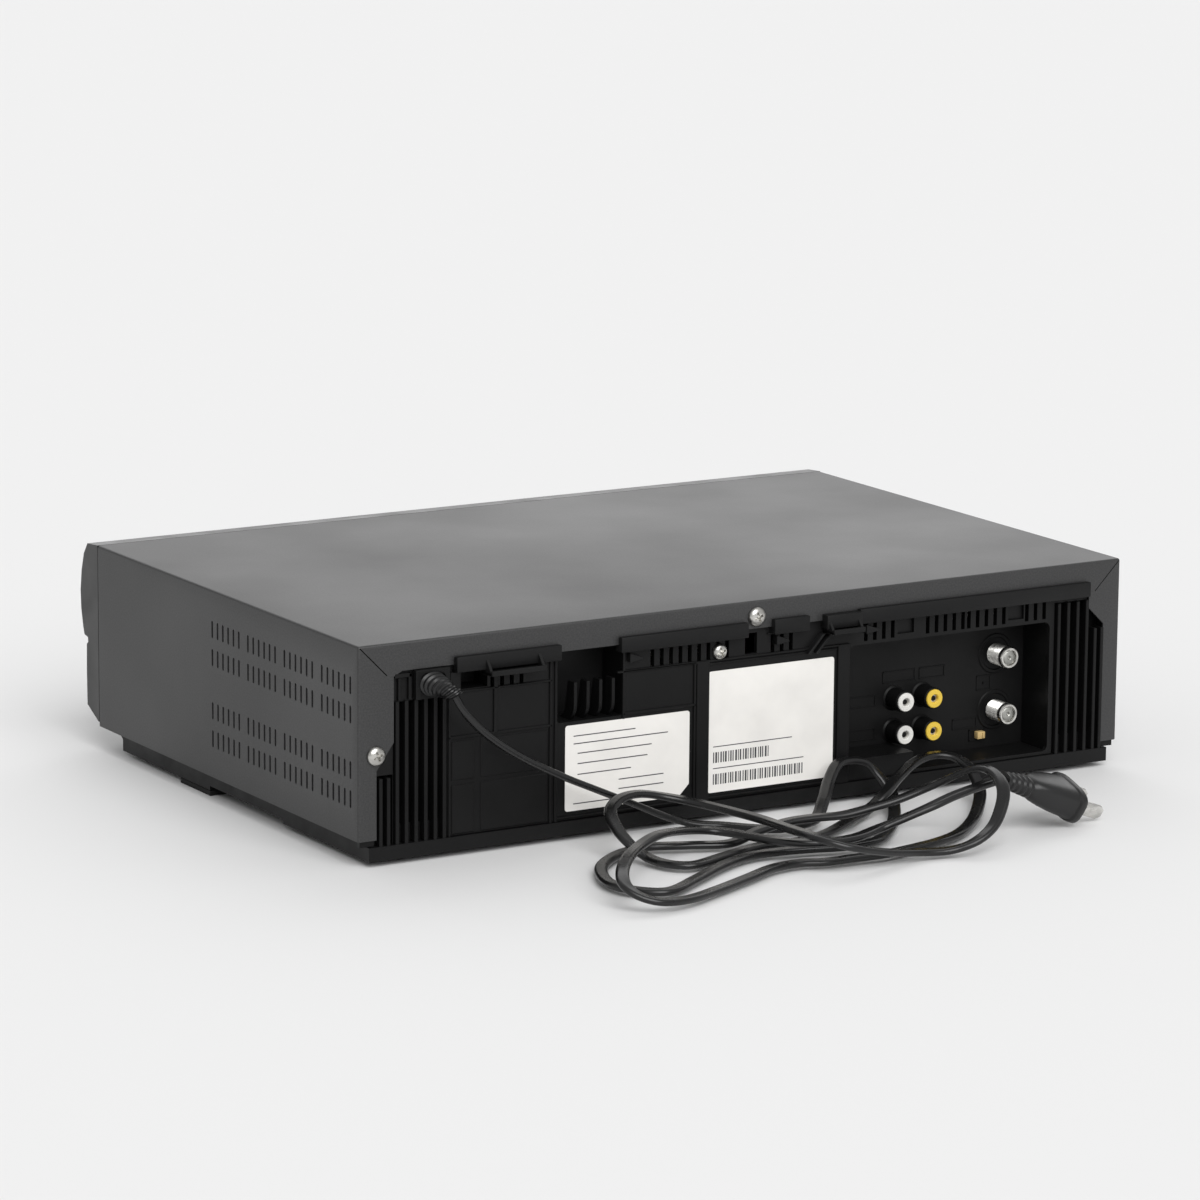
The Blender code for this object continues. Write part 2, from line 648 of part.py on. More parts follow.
def lip_opening():
    """The outline of the opening inside the rear lip, as (x, z) pairs."""
    right = INNER_HALF + COVER_SHEET
    return (
        (right - LIP_SIDE_WIDE, TOP_Z - LIP_TOP - LIP_NOTCH),
        (right - LIP_SIDE_WIDE, TOP_Z - LIP_STEP_RIGHT),
        (right - LIP_SIDE_NARROW, TOP_Z - LIP_STEP_RIGHT - LIP_STEP_DROP_RIGHT),
        (right - LIP_SIDE_NARROW, FLOOR_TO_COVER - OVERRUN),
        (LIP_SIDE_NARROW - right, FLOOR_TO_COVER - OVERRUN),
        (LIP_SIDE_NARROW - right, TOP_Z - LIP_STEP_LEFT - LIP_STEP_DROP_LEFT),
        (LIP_SIDE_WIDE - right, TOP_Z - LIP_STEP_LEFT),
        (LIP_SIDE_WIDE - right, TOP_Z - LIP_TOP - LIP_NOTCH),
        (LIP_SIDE_WIDE - right - 2 * LIP_NOTCH, TOP_Z - LIP_TOP),
        (right - LIP_SIDE_WIDE + 2 * LIP_NOTCH, TOP_Z - LIP_TOP),
    )


def side_slots():
    """Cutters for the rows of vent slots in both sides, right through each wall."""
    pairs = []
    for group in range(SLOT_GROUPS):
        for slot in range(SLOTS_PER_GROUP):
            rear = REAR_Y - SLOT_REAR_MARGIN - group * SLOT_GROUP_PITCH - slot * SLOT_PITCH
            for row in range(4):
                drop = SLOT_ROW_TOP + (row % 2) * SLOT_ROW_PITCH + (row // 2) * SLOT_PAIR_PITCH
                low = (INNER_HALF - OVERRUN, rear - SLOT_WIDTH, TOP_Z - drop - SLOT_HEIGHT)
                high = (HALF_WIDTH + OVERRUN, rear, TOP_Z - drop)
                pairs.extend(mirrored_pair(low, high))
    return blocks(*pairs)


def top_cover():
    """Folded sheet steel: top, two sides and a lip turned in at the rear."""
    cover = solid("top_cover", blocks(((-HALF_WIDTH, COVER_FRONT_Y, FLOOR_TO_COVER),
                                       (HALF_WIDTH, REAR_Y, TOP_Z))), grey_paint())
    cut(cover, blocks(((-INNER_HALF, COVER_FRONT_Y - OVERRUN, FLOOR_TO_COVER - OVERRUN),
                       (INNER_HALF, REAR_Y - COVER_SHEET, TOP_Z - COVER_SHEET))))
    cut(cover, prism(lip_opening(), 1, REAR_Y - COVER_SHEET - OVERRUN, REAR_Y + OVERRUN))
    cut(cover, side_slots())
    for x, z in cover_screw_places():
        cut(cover, cylinder(SCREW_SHANK_RADIUS + SEAT_GAP, -OVERRUN, OVERRUN + COVER_SHEET, 12,
                            along_y(x, REAR_Y - COVER_SHEET, z)))
    return cover


def cover_screw_places():
    side = (HALF_WIDTH - SCREW_SIDE_INSET, TOP_Z - SCREW_SIDE_DROP)
    top = (SCREW_TOP_SHARE * HALF_WIDTH, TOP_Z - SCREW_TOP_DROP)
    return side, top


def panel_screw_place():
    return PANEL_SCREW_SHARE * HALF_WIDTH, TOP_Z - PANEL_SCREW_DROP


def screws():
    """Two pan-head screws through the cover lip and one in the panel itself."""
    side, upper = cover_screw_places()
    places = [("cover_screw_side", *side, REAR_Y), ("cover_screw_top", *upper, REAR_Y),
              ("panel_screw", *panel_screw_place(), PANEL_FACE_Y)]
    for name, x, z, face in places:
        look = black_plastic() if name == "panel_screw" else bright_steel()
        seat = face + SEAT_GAP
        profile = ((0.0, seat - SCREW_LENGTH), (SCREW_SHANK_RADIUS, seat - SCREW_LENGTH),
                   (SCREW_SHANK_RADIUS, seat), (SCREW_HEAD_RADIUS, seat),
                   (SCREW_HEAD_RADIUS, seat + SCREW_HEAD_HEIGHT / 2),
                   (SCREW_HEAD_RADIUS * 0.7, seat + SCREW_HEAD_HEIGHT), (0.0, seat + SCREW_HEAD_HEIGHT))
        solid(name, turned(profile, 12, along_y(x, 0.0, z)), look, (x, seat, z), smooth=True)


def base_tray():
    """The moulded floor: a shallow tray with rails along its underside and posts for the boards and the deck."""
    front = COVER_FRONT_Y + BASE_FRONT_SET_BACK
    nose = COVER_FRONT_Y + SEAT_GAP
    outline = (
        (nose, FOOT_LIFT + BASE_CHAMFER_TOP),
        (front, FOOT_LIFT + BASE_CHAMFER_TOP),
        (front + BASE_CHAMFER_DEPTH, FOOT_LIFT + BASE_CHAMFER_TOP - BASE_CHAMFER_HEIGHT),
        (front + BASE_CHAMFER_DEPTH, FOOT_LIFT),
        (REAR_Y, FOOT_LIFT),
        (REAR_Y, RAIL_TOP_Z),
        (PANEL_BACK_Y - SEAT_GAP, RAIL_TOP_Z),
        (PANEL_BACK_Y - SEAT_GAP, BASE_TOP_Z),
        (nose, BASE_TOP_Z),
    )
    tray = solid("base_tray", prism(outline, 0, -BASE_HALF, BASE_HALF), black_plastic())
    inner = BASE_HALF - BASE_WALL
    cut(tray, blocks(((-inner, front + BASE_CHAMFER_DEPTH + BASE_WALL, BASE_FLOOR_Z),
                      (inner, PANEL_BACK_Y - SEAT_GAP - BASE_WALL, BASE_TOP_Z + OVERRUN))))
    notch_rear = REAR_Y - BASE_NOTCH_REAR
    notch_front = REAR_Y - FOOT_FRONT_REAR_EDGE
    cut(tray, blocks(*mirrored_pair((BASE_HALF - BASE_NOTCH_WIDTH, notch_front, FOOT_LIFT - OVERRUN),
                                    (BASE_HALF + OVERRUN, notch_rear, FOOT_LIFT + BASE_NOTCH_HEIGHT / 2))))
    recess_low = RECESS_X - RECESS_WIDTH / 2 - POCKET_WALL - SEAT_GAP
    recess_high = RECESS_X + RECESS_WIDTH / 2 + POCKET_WALL + SEAT_GAP
    pocket_foot = RECESS_BOTTOM_Z - RECESS_FOOT_HEIGHT - POCKET_WALL / 2 - SEAT_GAP
    wall_front = PANEL_BACK_Y - SEAT_GAP - BASE_WALL
    cut(tray, blocks(((recess_low, wall_front - OVERRUN, pocket_foot),
                      (recess_high, wall_front + BASE_WALL + OVERRUN, BASE_TOP_Z + OVERRUN))))
    for x, y, top in post_places():
        join(tray, cylinder(POST_RADIUS, BASE_FLOOR_Z - BASE_FLOOR / 2, top - SEAT_GAP, 8, at(x, y, 0.0)))
    return tray


def board_spans():
    """Low and high X and Y of the main board on the left and of the power board on the right."""
    edge = BASE_HALF - BASE_WALL
    rear = REAR_Y - BOARD_REAR
    main = (-edge, -edge + BOARD_WIDTH, rear - MAIN_BOARD_LENGTH, rear)
    power = (edge - BOARD_WIDTH, edge, rear - POWER_BOARD_LENGTH, rear)
    return main, power


def post_places():
    """Posts under the corners of both boards and of the deck, as (x, y, height of what they carry)."""
    places = []
    for left, right, front, rear in board_spans():
        for x in (left + BOARD_EDGE, right - BOARD_EDGE):
            for y in (front + BOARD_EDGE, rear - BOARD_EDGE):
                places.append((x, y, BOARD_LEVEL))
    for x in (-DECK_WIDTH / 2 + BOARD_EDGE, DECK_WIDTH / 2 - BOARD_EDGE):
        for y in (DECK_FRONT + 2 * BOARD_EDGE, DECK_REAR - BOARD_EDGE):
            places.append((x, y, DECK_LEVEL))
    return places


def feet():
    """Two feet in line with the sides at the front, two set in at the rear."""
    front_rear_edge = REAR_Y - FOOT_FRONT_REAR_EDGE
    rear_rear_edge = REAR_Y - FOOT_REAR_REAR_EDGE
    for side, sign in (("left", -1), ("right", 1)):
        for end, edge, set_in in (("front", front_rear_edge, 0.0), ("rear", rear_rear_edge, FOOT_REAR_INSET)):
            outer = BASE_HALF - set_in
            low = (min(sign * outer, sign * (outer - FOOT_WIDTH)), edge - FOOT_LENGTH, 0.0)
            high = (max(sign * outer, sign * (outer - FOOT_WIDTH)), edge, FOOT_LIFT - SEAT_GAP)
            solid(f"foot_{end}_{side}", blocks((low, high)), rubber())


def ledge_outline():
    """A ledge bar that hooks over the lower edge of the cover's rear lip, as (y, z) pairs."""
    top = TOP_Z - LEDGE_TOP
    bottom = top - LEDGE_HEIGHT
    under_lip = TOP_Z - LIP_TOP - SEAT_GAP
    inside = PANEL_FACE_Y - PANEL_SHEET / 2
    return ((inside, bottom), (REAR_Y + LEDGE_PROUD, bottom), (REAR_Y + LEDGE_PROUD, top),
            (REAR_Y + SEAT_GAP, top), (REAR_Y + SEAT_GAP, under_lip), (inside, under_lip))


def hook_shapes(panel):
    """Two cord hooks: a plate below the ledge with an upturned lip and a gusset at each end."""
    plate_bottom = TOP_Z - LEDGE_TOP - HOOK_DROP
    plate_top = plate_bottom + HOOK_PLATE
    tip = REAR_Y + HOOK_PROUD
    inside = PANEL_FACE_Y - PANEL_SHEET / 2
    ledge_face = REAR_Y + LEDGE_PROUD - HOOK_PLATE
    ledge_top = TOP_Z - LEDGE_TOP - HOOK_PLATE
    plate = ((inside, plate_bottom), (tip, plate_bottom), (tip, plate_top + HOOK_LIP),
             (tip - HOOK_PLATE, plate_top + HOOK_LIP), (tip - HOOK_PLATE, plate_top), (inside, plate_top))
    gusset = ((ledge_face, plate_bottom), (tip, plate_bottom), (tip, plate_top), (ledge_face, ledge_top))
    for low, high in HOOK_SHARES:
        low, high = low * HALF_WIDTH, high * HALF_WIDTH
        join(panel, prism(plate, 0, low, high))
        join(panel, prism(gusset, 0, low, low + HOOK_PLATE))
        join(panel, prism(gusset, 0, high - HOOK_PLATE, high))


def rear_panel():
    """The moulded rear: jack recess, hand pocket, vent slits, ribs, ledges and cord hooks."""
    half = INNER_HALF - SEAT_GAP
    bottom = RAIL_TOP_Z + PANEL_BOTTOM_GAP
    top = TOP_Z - COVER_SHEET - SEAT_GAP
    panel = solid("rear_panel", blocks(((-half, PANEL_BACK_Y, bottom), (half, PANEL_FACE_Y, top))),
                  black_plastic())
    recess_low = RECESS_X - RECESS_WIDTH / 2
    recess_high = RECESS_X + RECESS_WIDTH / 2
    foot_high = recess_low + RECESS_FOOT_WIDTH
    foot_bottom = RECESS_BOTTOM_Z - RECESS_FOOT_HEIGHT
    pocket_back = RECESS_FLOOR_Y - POCKET_WALL
    sink = PANEL_FACE_Y - PANEL_SHEET / 2
    join(panel, blocks(((recess_low - POCKET_WALL, pocket_back, foot_bottom - POCKET_WALL / 2),
                        (recess_high + POCKET_WALL, sink, RECESS_TOP_Z + POCKET_WALL))))
    cavity_x = CAVITY_CENTRE_SHARE * HALF_WIDTH
    cavity_top = TOP_Z - CAVITY_TOP
    cavity_floor = REAR_Y - CAVITY_DEPTH
    join(panel, blocks(((cavity_x - CAVITY_WIDTH / 2 - POCKET_WALL, cavity_floor - POCKET_WALL,
                         cavity_top - CAVITY_HEIGHT - POCKET_WALL),
                        (cavity_x + CAVITY_WIDTH / 2 + POCKET_WALL, sink, cavity_top + POCKET_WALL))))
    recess = ((recess_low, foot_bottom), (foot_high, foot_bottom), (foot_high, RECESS_BOTTOM_Z),
              (recess_high, RECESS_BOTTOM_Z), (recess_high, RECESS_TOP_Z), (recess_low, RECESS_TOP_Z))
    cut(panel, prism(recess, 1, RECESS_FLOOR_Y, PANEL_FACE_Y + OVERRUN))
    cut(panel, blocks(((cavity_x - CAVITY_WIDTH / 2, cavity_floor, cavity_top - CAVITY_HEIGHT),
                       (cavity_x + CAVITY_WIDTH / 2, PANEL_FACE_Y + OVERRUN, cavity_top))))
    fin_pitch = CAVITY_WIDTH / (FIN_COUNT + 1)
    fins = []
    for number in range(FIN_COUNT):
        middle = cavity_x - CAVITY_WIDTH / 2 + (number + 1) * fin_pitch
        foot = cavity_top - CAVITY_HEIGHT
        low = (middle - FIN_THICKNESS / 2, cavity_floor - POCKET_WALL / 2, foot - POCKET_WALL / 2)
        fins.append((low, (middle + FIN_THICKNESS / 2, PANEL_FACE_Y, foot + FIN_HEIGHT)))
    join(panel, blocks(*fins))
    slits = []
    for share, count in SLIT_GROUP_SHARES:
        for number in range(count):
            x = share * HALF_WIDTH + number * SLIT_PITCH
            slits.append(((x, PANEL_BACK_Y - OVERRUN, TOP_Z - SLIT_TOP - SLIT_HEIGHT),
                          (x + SLIT_WIDTH, PANEL_FACE_Y + OVERRUN, TOP_Z - SLIT_TOP)))
    cut(panel, blocks(*slits))
    ribs = []
    rib_face = PANEL_FACE_Y + RIB_PROUD
    rib_foot = bottom + RIB_FOOT
    for number in range(RIB_LEFT_COUNT):
        x = RIB_LEFT_FIRST + number * RIB_LEFT_PITCH
        ribs.append(((x, sink, rib_foot), (x + RIB_THICKNESS, rib_face, TOP_Z - RIB_LEFT_TOP)))
    last = RIB_LEFT_FIRST + (RIB_LEFT_COUNT - 1) * RIB_LEFT_PITCH
    for number in range(1, RIB_LOWER_COUNT):
        x = last + number * RIB_LOWER_PITCH
        ribs.append(((x, sink, rib_foot), (x + RIB_THICKNESS, rib_face, TOP_Z - RIB_LOWER_TOP)))
    for number in range(RIB_RIGHT_COUNT):
        x = -RIB_RIGHT_FIRST - number * RIB_RIGHT_PITCH
        ribs.append(((x - RIB_THICKNESS, sink, rib_foot), (x, rib_face, TOP_Z - RIB_RIGHT_TOP)))
    for share in POST_BAR_SHARES:
        x = share * HALF_WIDTH
        ribs.append(((x - POST_BAR_WIDTH / 2, sink, rib_foot), (x + POST_BAR_WIDTH / 2, rib_face,
                                                               TOP_Z - POST_BAR_TOP)))
    join(panel, blocks(*ribs))
    inlet_x = INLET_CENTRE_SHARE * HALF_WIDTH
    inlet_top = TOP_Z - INLET_TOP
    join(panel, blocks(((inlet_x - INLET_WIDTH / 2, sink, inlet_top - INLET_HEIGHT),
                        (inlet_x + INLET_WIDTH / 2, REAR_Y + INLET_PROUD, inlet_top))))
    for low, high in LEDGE_SHARES:
        join(panel, prism(ledge_outline(), 0, low * HALF_WIDTH, high * HALF_WIDTH))
    hook_shapes(panel)
    for x, z in phono_places():
        cut(panel, cylinder(PHONO_RADIUS + SEAT_GAP, -POCKET_WALL - OVERRUN, OVERRUN, 12,
                            along_y(x, RECESS_FLOOR_Y, z)))
    for x, z in aerial_places():
        cut(panel, cylinder(AERIAL_RADIUS + SEAT_GAP, -POCKET_WALL - OVERRUN, OVERRUN, 12,
                            along_y(x, RECESS_FLOOR_Y, z)))
    switch_x, switch_z = switch_place()
    reach = SWITCH_STEM / 2 + SEAT_GAP
    cut(panel, blocks(((switch_x - reach, pocket_back - OVERRUN, switch_z - reach),
                       (switch_x + reach + SWITCH_TRAVEL, RECESS_FLOOR_Y + OVERRUN, switch_z + reach))))
    for x, z in (*cover_screw_places(), panel_screw_place()):
        cut(panel, cylinder(SCREW_SHANK_RADIUS + SEAT_GAP, -PANEL_SHEET - OVERRUN, OVERRUN, 12,
                            along_y(x, PANEL_FACE_Y, z)))
    boot = boot_base()
    cut(panel, cylinder(BOOT_NECK_RADIUS + SEAT_GAP, -2 * OVERRUN - PANEL_SHEET, 2 * OVERRUN + INLET_PROUD, 12,
                        along_y(boot.x, PANEL_FACE_Y, boot.z)))
    return panel


def phono_places():
    """Centres of the four phono jacks, two columns by two rows."""
    first_x = PHONO_FIRST_SHARE * HALF_WIDTH
    first_z = TOP_Z - PHONO_TOP
    return [(first_x - column * PHONO_PITCH_X, first_z - row * PHONO_PITCH_Z) for row in range(2)
            for column in range(2)]


def aerial_places():
    x = AERIAL_SHARE * HALF_WIDTH
    return [(x, TOP_Z - AERIAL_TOP - row * AERIAL_PITCH) for row in range(2)]


def switch_place():
    return SWITCH_SHARE * HALF_WIDTH, TOP_Z - SWITCH_TOP


def phono_block():
    """One moulded block behind the recess floor whose four jack barrels pass through it."""
    back = RECESS_FLOOR_Y - POCKET_WALL - SEAT_GAP
    places = phono_places()
    xs = [x for x, z in places]
    zs = [z for x, z in places]
    body = solid("phono_jack_block", blocks(((min(xs) - PHONO_BLOCK_EDGE, back - PHONO_BLOCK_DEPTH,
                                              min(zs) - PHONO_BLOCK_EDGE),
                                             (max(xs) + PHONO_BLOCK_EDGE, back, max(zs) + PHONO_BLOCK_EDGE))),
                 black_plastic())
    for x, z in places:
        join(body, cylinder(PHONO_RADIUS, -PHONO_BLOCK_DEPTH / 2, PHONO_LENGTH + POCKET_WALL, 16,
                            along_y(x, back, z)))
    for x, z in places:
        cut(body, cylinder(PHONO_BORE, PHONO_LENGTH / 4, PHONO_LENGTH + POCKET_WALL + OVERRUN, 8,
                           along_y(x, back, z)))
    return body


def rf_modulator():
    """The screened aerial box with two threaded sockets that pass through the recess floor."""
    back = RECESS_FLOOR_Y - POCKET_WALL - SEAT_GAP
    places = aerial_places()
    x = places[0][0]
    top = places[0][1] + CAN_WIDTH / 4
    body = solid("rf_modulator", blocks(((x - CAN_WIDTH / 2, back - CAN_DEPTH, CAN_FLOOR),
                                         (x + CAN_WIDTH / 2, back, max(top, CAN_FLOOR + CAN_WIDTH / 2)))),
                 zinc_steel())
    join(body, blocks(((x - AERIAL_RADIUS * 2, back - AERIAL_RADIUS * 2, places[1][1] - AERIAL_RADIUS * 2),
                       (x + AERIAL_RADIUS * 2, back, CAN_FLOOR + CAN_WIDTH / 4))))
    for _, z in places:
        join(body, cylinder(AERIAL_RADIUS, -AERIAL_RADIUS, AERIAL_LENGTH + POCKET_WALL, 16, along_y(x, back, z)))
    for _, z in places:
        cut(body, cylinder(AERIAL_BORE, AERIAL_LENGTH / 4, AERIAL_LENGTH + POCKET_WALL + OVERRUN, 8,
                           along_y(x, back, z)))
    return body


def channel_switch():
    """A slider whose cap stands in the recess and whose stem passes through a short slot."""
    x, z = switch_place()
    back = RECESS_FLOOR_Y - POCKET_WALL
    seat = RECESS_FLOOR_Y + SEAT_GAP
    body = solid("channel_switch", blocks(((x - SWITCH_WIDTH / 2, seat, z - SWITCH_HEIGHT / 2),
                                           (x + SWITCH_WIDTH / 2, seat + SWITCH_PROUD, z + SWITCH_HEIGHT / 2))),
                 tan_plastic(), (x, RECESS_FLOOR_Y, z))
    return join(body, blocks(((x - SWITCH_STEM / 2, back - SWITCH_STEM, z - SWITCH_STEM / 2),
                              (x + SWITCH_STEM / 2, RECESS_FLOOR_Y + SWITCH_PROUD / 2, z + SWITCH_STEM / 2))))


def labels():
    """Two bare paper labels. The rating label has its lower right corner cut, seen from behind."""
    front = PANEL_FACE_Y + SEAT_GAP
    for name, share, width, height, drop in (
            ("rating_label", RATING_LABEL_CENTRE_SHARE, RATING_LABEL_WIDTH, RATING_LABEL_HEIGHT,
             RATING_LABEL_TOP),
            ("serial_label", SERIAL_LABEL_CENTRE_SHARE, SERIAL_LABEL_WIDTH, SERIAL_LABEL_HEIGHT,
             SERIAL_LABEL_TOP)):
        left = share * HALF_WIDTH - width / 2
        right = left + width
        top = TOP_Z - drop
        bottom = top - height
        cutback = LABEL_CORNER if name == "rating_label" else LABEL_CORNER / 4
        outline = ((left, bottom + cutback), (left + cutback, bottom), (right, bottom), (right, top), (left, top))
        solid(name, prism(outline, 1, front, front + LABEL_PAPER), paper())


def bezel_outline():
    """The side view of the bezel as (y, z) pairs, from the top rear corner round the front to the bottom."""
    shown = [(COVER_FRONT_Y - depth * BEZEL_PROUD, BEZEL_BOTTOM_Z + height * BEZEL_HEIGHT)
             for depth, height in BEZEL_PROFILE_SHARES]
    return [(BEZEL_BACK_Y, TOP_Z), *shown, (BEZEL_BACK_Y, BEZEL_BOTTOM_Z)]


def inset(outline, wall):
    """The points of an open outline moved inwards by the wall, each along its corner's bisector."""
    moved = []
    for before, here, after in zip(outline, outline[1:], outline[2:]):
        into = Vector(here) - Vector(before)
        away = Vector(after) - Vector(here)
        first = Vector((-into.y, into.x)).normalized()
        second = Vector((-away.y, away.x)).normalized()
        middle = (first + second).normalized()
        moved.append(Vector(here) + middle * wall / max(middle.dot(first), 0.5))
    return [tuple(point) for point in moved]


def bezel_face_y(height):
    """Where the outer face of the bezel is at a height."""
    outline = bezel_outline()
    for (y0, z0), (y1, z1) in zip(outline[1:], outline[2:]):
        if z1 <= height <= z0 and z0 > z1:
            return y0 + (y1 - y0) * (z0 - height) / (z0 - z1)
    return outline[1][0]


def door_levels():
    bottom = BEZEL_BOTTOM_Z + DOOR_BOTTOM
    return bottom, bottom + DOOR_HEIGHT


def door_axis():
    bottom, top = door_levels()
    return Vector((0.0, FRONT_Y + DOOR_AXIS_DEPTH + RUNNING_GAP, top - DOOR_AXIS_DROP))


def button_places():
    """Each button as name, centre X, centre Z, width."""
    low = BEZEL_BOTTOM_Z + BUTTON_ROW_LOW
    high = BEZEL_BOTTOM_Z + BUTTON_ROW_HIGH
    pitch = BUTTON_WIDE + BUTTON_NARROW / 3
    first = -HALF_WIDTH + BUTTON_WIDE
    window_right = WINDOW_CENTRE_SHARE * HALF_WIDTH + WINDOW_WIDTH / 2
    channel_x = window_right + BUTTON_NARROW
    return (
        ("power_button", first, high, BUTTON_WIDE),
        ("eject_button", first, low, BUTTON_WIDE),
        ("rewind_button", first + pitch, low, BUTTON_WIDE),
        ("play_button", first + 2 * pitch, low, BUTTON_WIDE),
        ("forward_button", first + 3 * pitch, low, BUTTON_WIDE),
        ("record_button", first + 4 * pitch, low, BUTTON_NARROW),
        ("channel_up_button", channel_x, high, BUTTON_NARROW),
        ("channel_down_button", channel_x, low, BUTTON_NARROW),
    )


def front_board_face():
    return COVER_FRONT_Y + FRONT_BOARD_BEHIND


def front_bezel():
    """The moulded front: a shell with the cassette opening, the display window's hole and the button holes."""
    outline = bezel_outline()
    bezel = solid("front_bezel", prism(outline, 0, -HALF_WIDTH, HALF_WIDTH), black_plastic())
    inner = inset(outline, BEZEL_WALL)
    behind = BEZEL_BACK_Y + OVERRUN
    hollow = [(behind, TOP_Z - BEZEL_WALL), *inner, (behind, BEZEL_BOTTOM_Z + BEZEL_WALL)]
    inside = HALF_WIDTH - BEZEL_WALL
    cut(bezel, prism(hollow, 0, -inside, inside))
    tongue_out = INNER_HALF - SEAT_GAP
    tongue_top = TOP_Z - COVER_SHEET - SEAT_GAP
    tongue_low = BEZEL_BOTTOM_Z + BEZEL_WALL / 2
    tongue = blocks(
        ((-tongue_out, BEZEL_BACK_Y - OVERRUN, tongue_top - TONGUE_WALL),
         (tongue_out, COVER_FRONT_Y + TONGUE_LENGTH, tongue_top)))
    join(bezel, tongue)
    join(bezel, blocks(*mirrored_pair(
        (tongue_out - TONGUE_WALL, BEZEL_BACK_Y - OVERRUN, tongue_low + BASE_RIM_HEIGHT / 2),
        (tongue_out, COVER_FRONT_Y + TONGUE_LENGTH, tongue_top - TONGUE_WALL / 2))))
    door_low, door_high = door_levels()
    reach = DOOR_WIDTH / 2 + SEAT_GAP
    cut(bezel, blocks(((-reach, FRONT_Y - OVERRUN, door_low - RUNNING_GAP),
                       (reach, COVER_FRONT_Y - BEZEL_PROUD / 3, door_high + SEAT_GAP))))
    axis = door_axis()
    ear_low = (reach, bezel_face_y(axis.z) + BEZEL_WALL / 2, axis.z - EAR_SIZE / 2)
    ear_high = (reach + EAR_THICKNESS, axis.y + EAR_SIZE / 2, axis.z + EAR_SIZE / 2)
    join(bezel, blocks(*mirrored_pair(ear_low, ear_high)))
    pin_reach = reach + EAR_THICKNESS + OVERRUN
    cut(bezel, cylinder(DOOR_PIN_RADIUS + SEAT_GAP, -pin_reach, pin_reach, 8, along_x(0.0, axis.y, axis.z)))
    window_x = WINDOW_CENTRE_SHARE * HALF_WIDTH
    window_z = BEZEL_BOTTOM_Z + WINDOW_MIDDLE
    wide = WINDOW_WIDTH / 2 + SEAT_GAP
    tall = WINDOW_HEIGHT / 2 + SEAT_GAP
    holes = [((window_x - wide, FRONT_Y - OVERRUN, window_z - tall),
              (window_x + wide, bezel_face_y(window_z) + BEZEL_WALL + OVERRUN, window_z + tall))]
    for _, x, z, width in button_places():
        side = width / 2 + SEAT_GAP
        rise = BUTTON_HEIGHT / 2 + SEAT_GAP
        holes.append(((x - side, FRONT_Y - OVERRUN, z - rise),
                      (x + side, bezel_face_y(z) + BEZEL_WALL + OVERRUN, z + rise)))
    cut(bezel, blocks(*holes))
    pillar_z = BEZEL_BOTTOM_Z + (BUTTON_ROW_LOW + BUTTON_ROW_HIGH) / 2
    pillars = bmesh.new()
    for share in PILLAR_SHARES:
        start = bezel_face_y(pillar_z) + BEZEL_WALL / 2
        add_to(pillars, cylinder(PILLAR_RADIUS, 0.0, front_board_face() - SEAT_GAP - start, 8,
                                 along_y(share * HALF_WIDTH, start, pillar_z)))
    return join(bezel, pillars)


def cassette_door():
    """The flap over the cassette opening, hinged along its top edge and pushed inwards by the cassette."""
    low, high = door_levels()
    heights = [high]
    for _, z in bezel_outline():
        if low < z < high:
            heights.append(z)
    heights.append(low)
    outer = [(bezel_face_y(z), z) for z in heights]
    inner = [(y + DOOR_THICKNESS, z) for y, z in reversed(outer)]
    half = DOOR_WIDTH / 2
    axis = door_axis()
    door = solid("cassette_door", prism([*outer, *inner], 0, -half, half), black_plastic(), axis)
    arm_low = (half - EAR_THICKNESS, bezel_face_y(axis.z) + DOOR_THICKNESS / 2, axis.z - EAR_SIZE / 4)
    arm_high = (half, axis.y + EAR_SIZE / 4, axis.z + EAR_SIZE / 5)
    join(door, blocks(*mirrored_pair(arm_low, arm_high)))
    pins = bmesh.new()
    for sign in (-1, 1):
        ends = sorted((sign * (half - EAR_THICKNESS / 2), sign * (half + DOOR_PIN_LENGTH)))
        add_to(pins, cylinder(DOOR_PIN_RADIUS, *ends, 8, along_x(0.0, axis.y, axis.z)))
    return join(door, pins)


def wire(name, points, radius, look, resolution=2, cyclic=False):
    """A round tube along points, as a curve with filled ends."""
    data = bpy.data.curves.new(name, "CURVE")
    data.dimensions = "3D"
    data.bevel_depth = radius
    data.bevel_resolution = resolution
    data.use_fill_caps = True
    line = data.splines.new("POLY")
    line.points.add(len(points) - 1)
    for item, point in zip(line.points, points):
        item.co = (*point, 1.0)
    line.use_cyclic_u = cyclic
    data.materials.append(look)
    made = bpy.data.objects.new(name, data)
    bpy.context.scene.collection.objects.link(made)
    return made


def display_window():
    x = WINDOW_CENTRE_SHARE * HALF_WIDTH
    z = BEZEL_BOTTOM_Z + WINDOW_MIDDLE
    face = bezel_face_y(z) - WINDOW_PROUD
    solid("display_window", blocks(((x - WINDOW_WIDTH / 2, face, z - WINDOW_HEIGHT / 2),
                                    (x + WINDOW_WIDTH / 2, face + WINDOW_THICKNESS + WINDOW_PROUD,
                                     z + WINDOW_HEIGHT / 2))), smoked_lens())


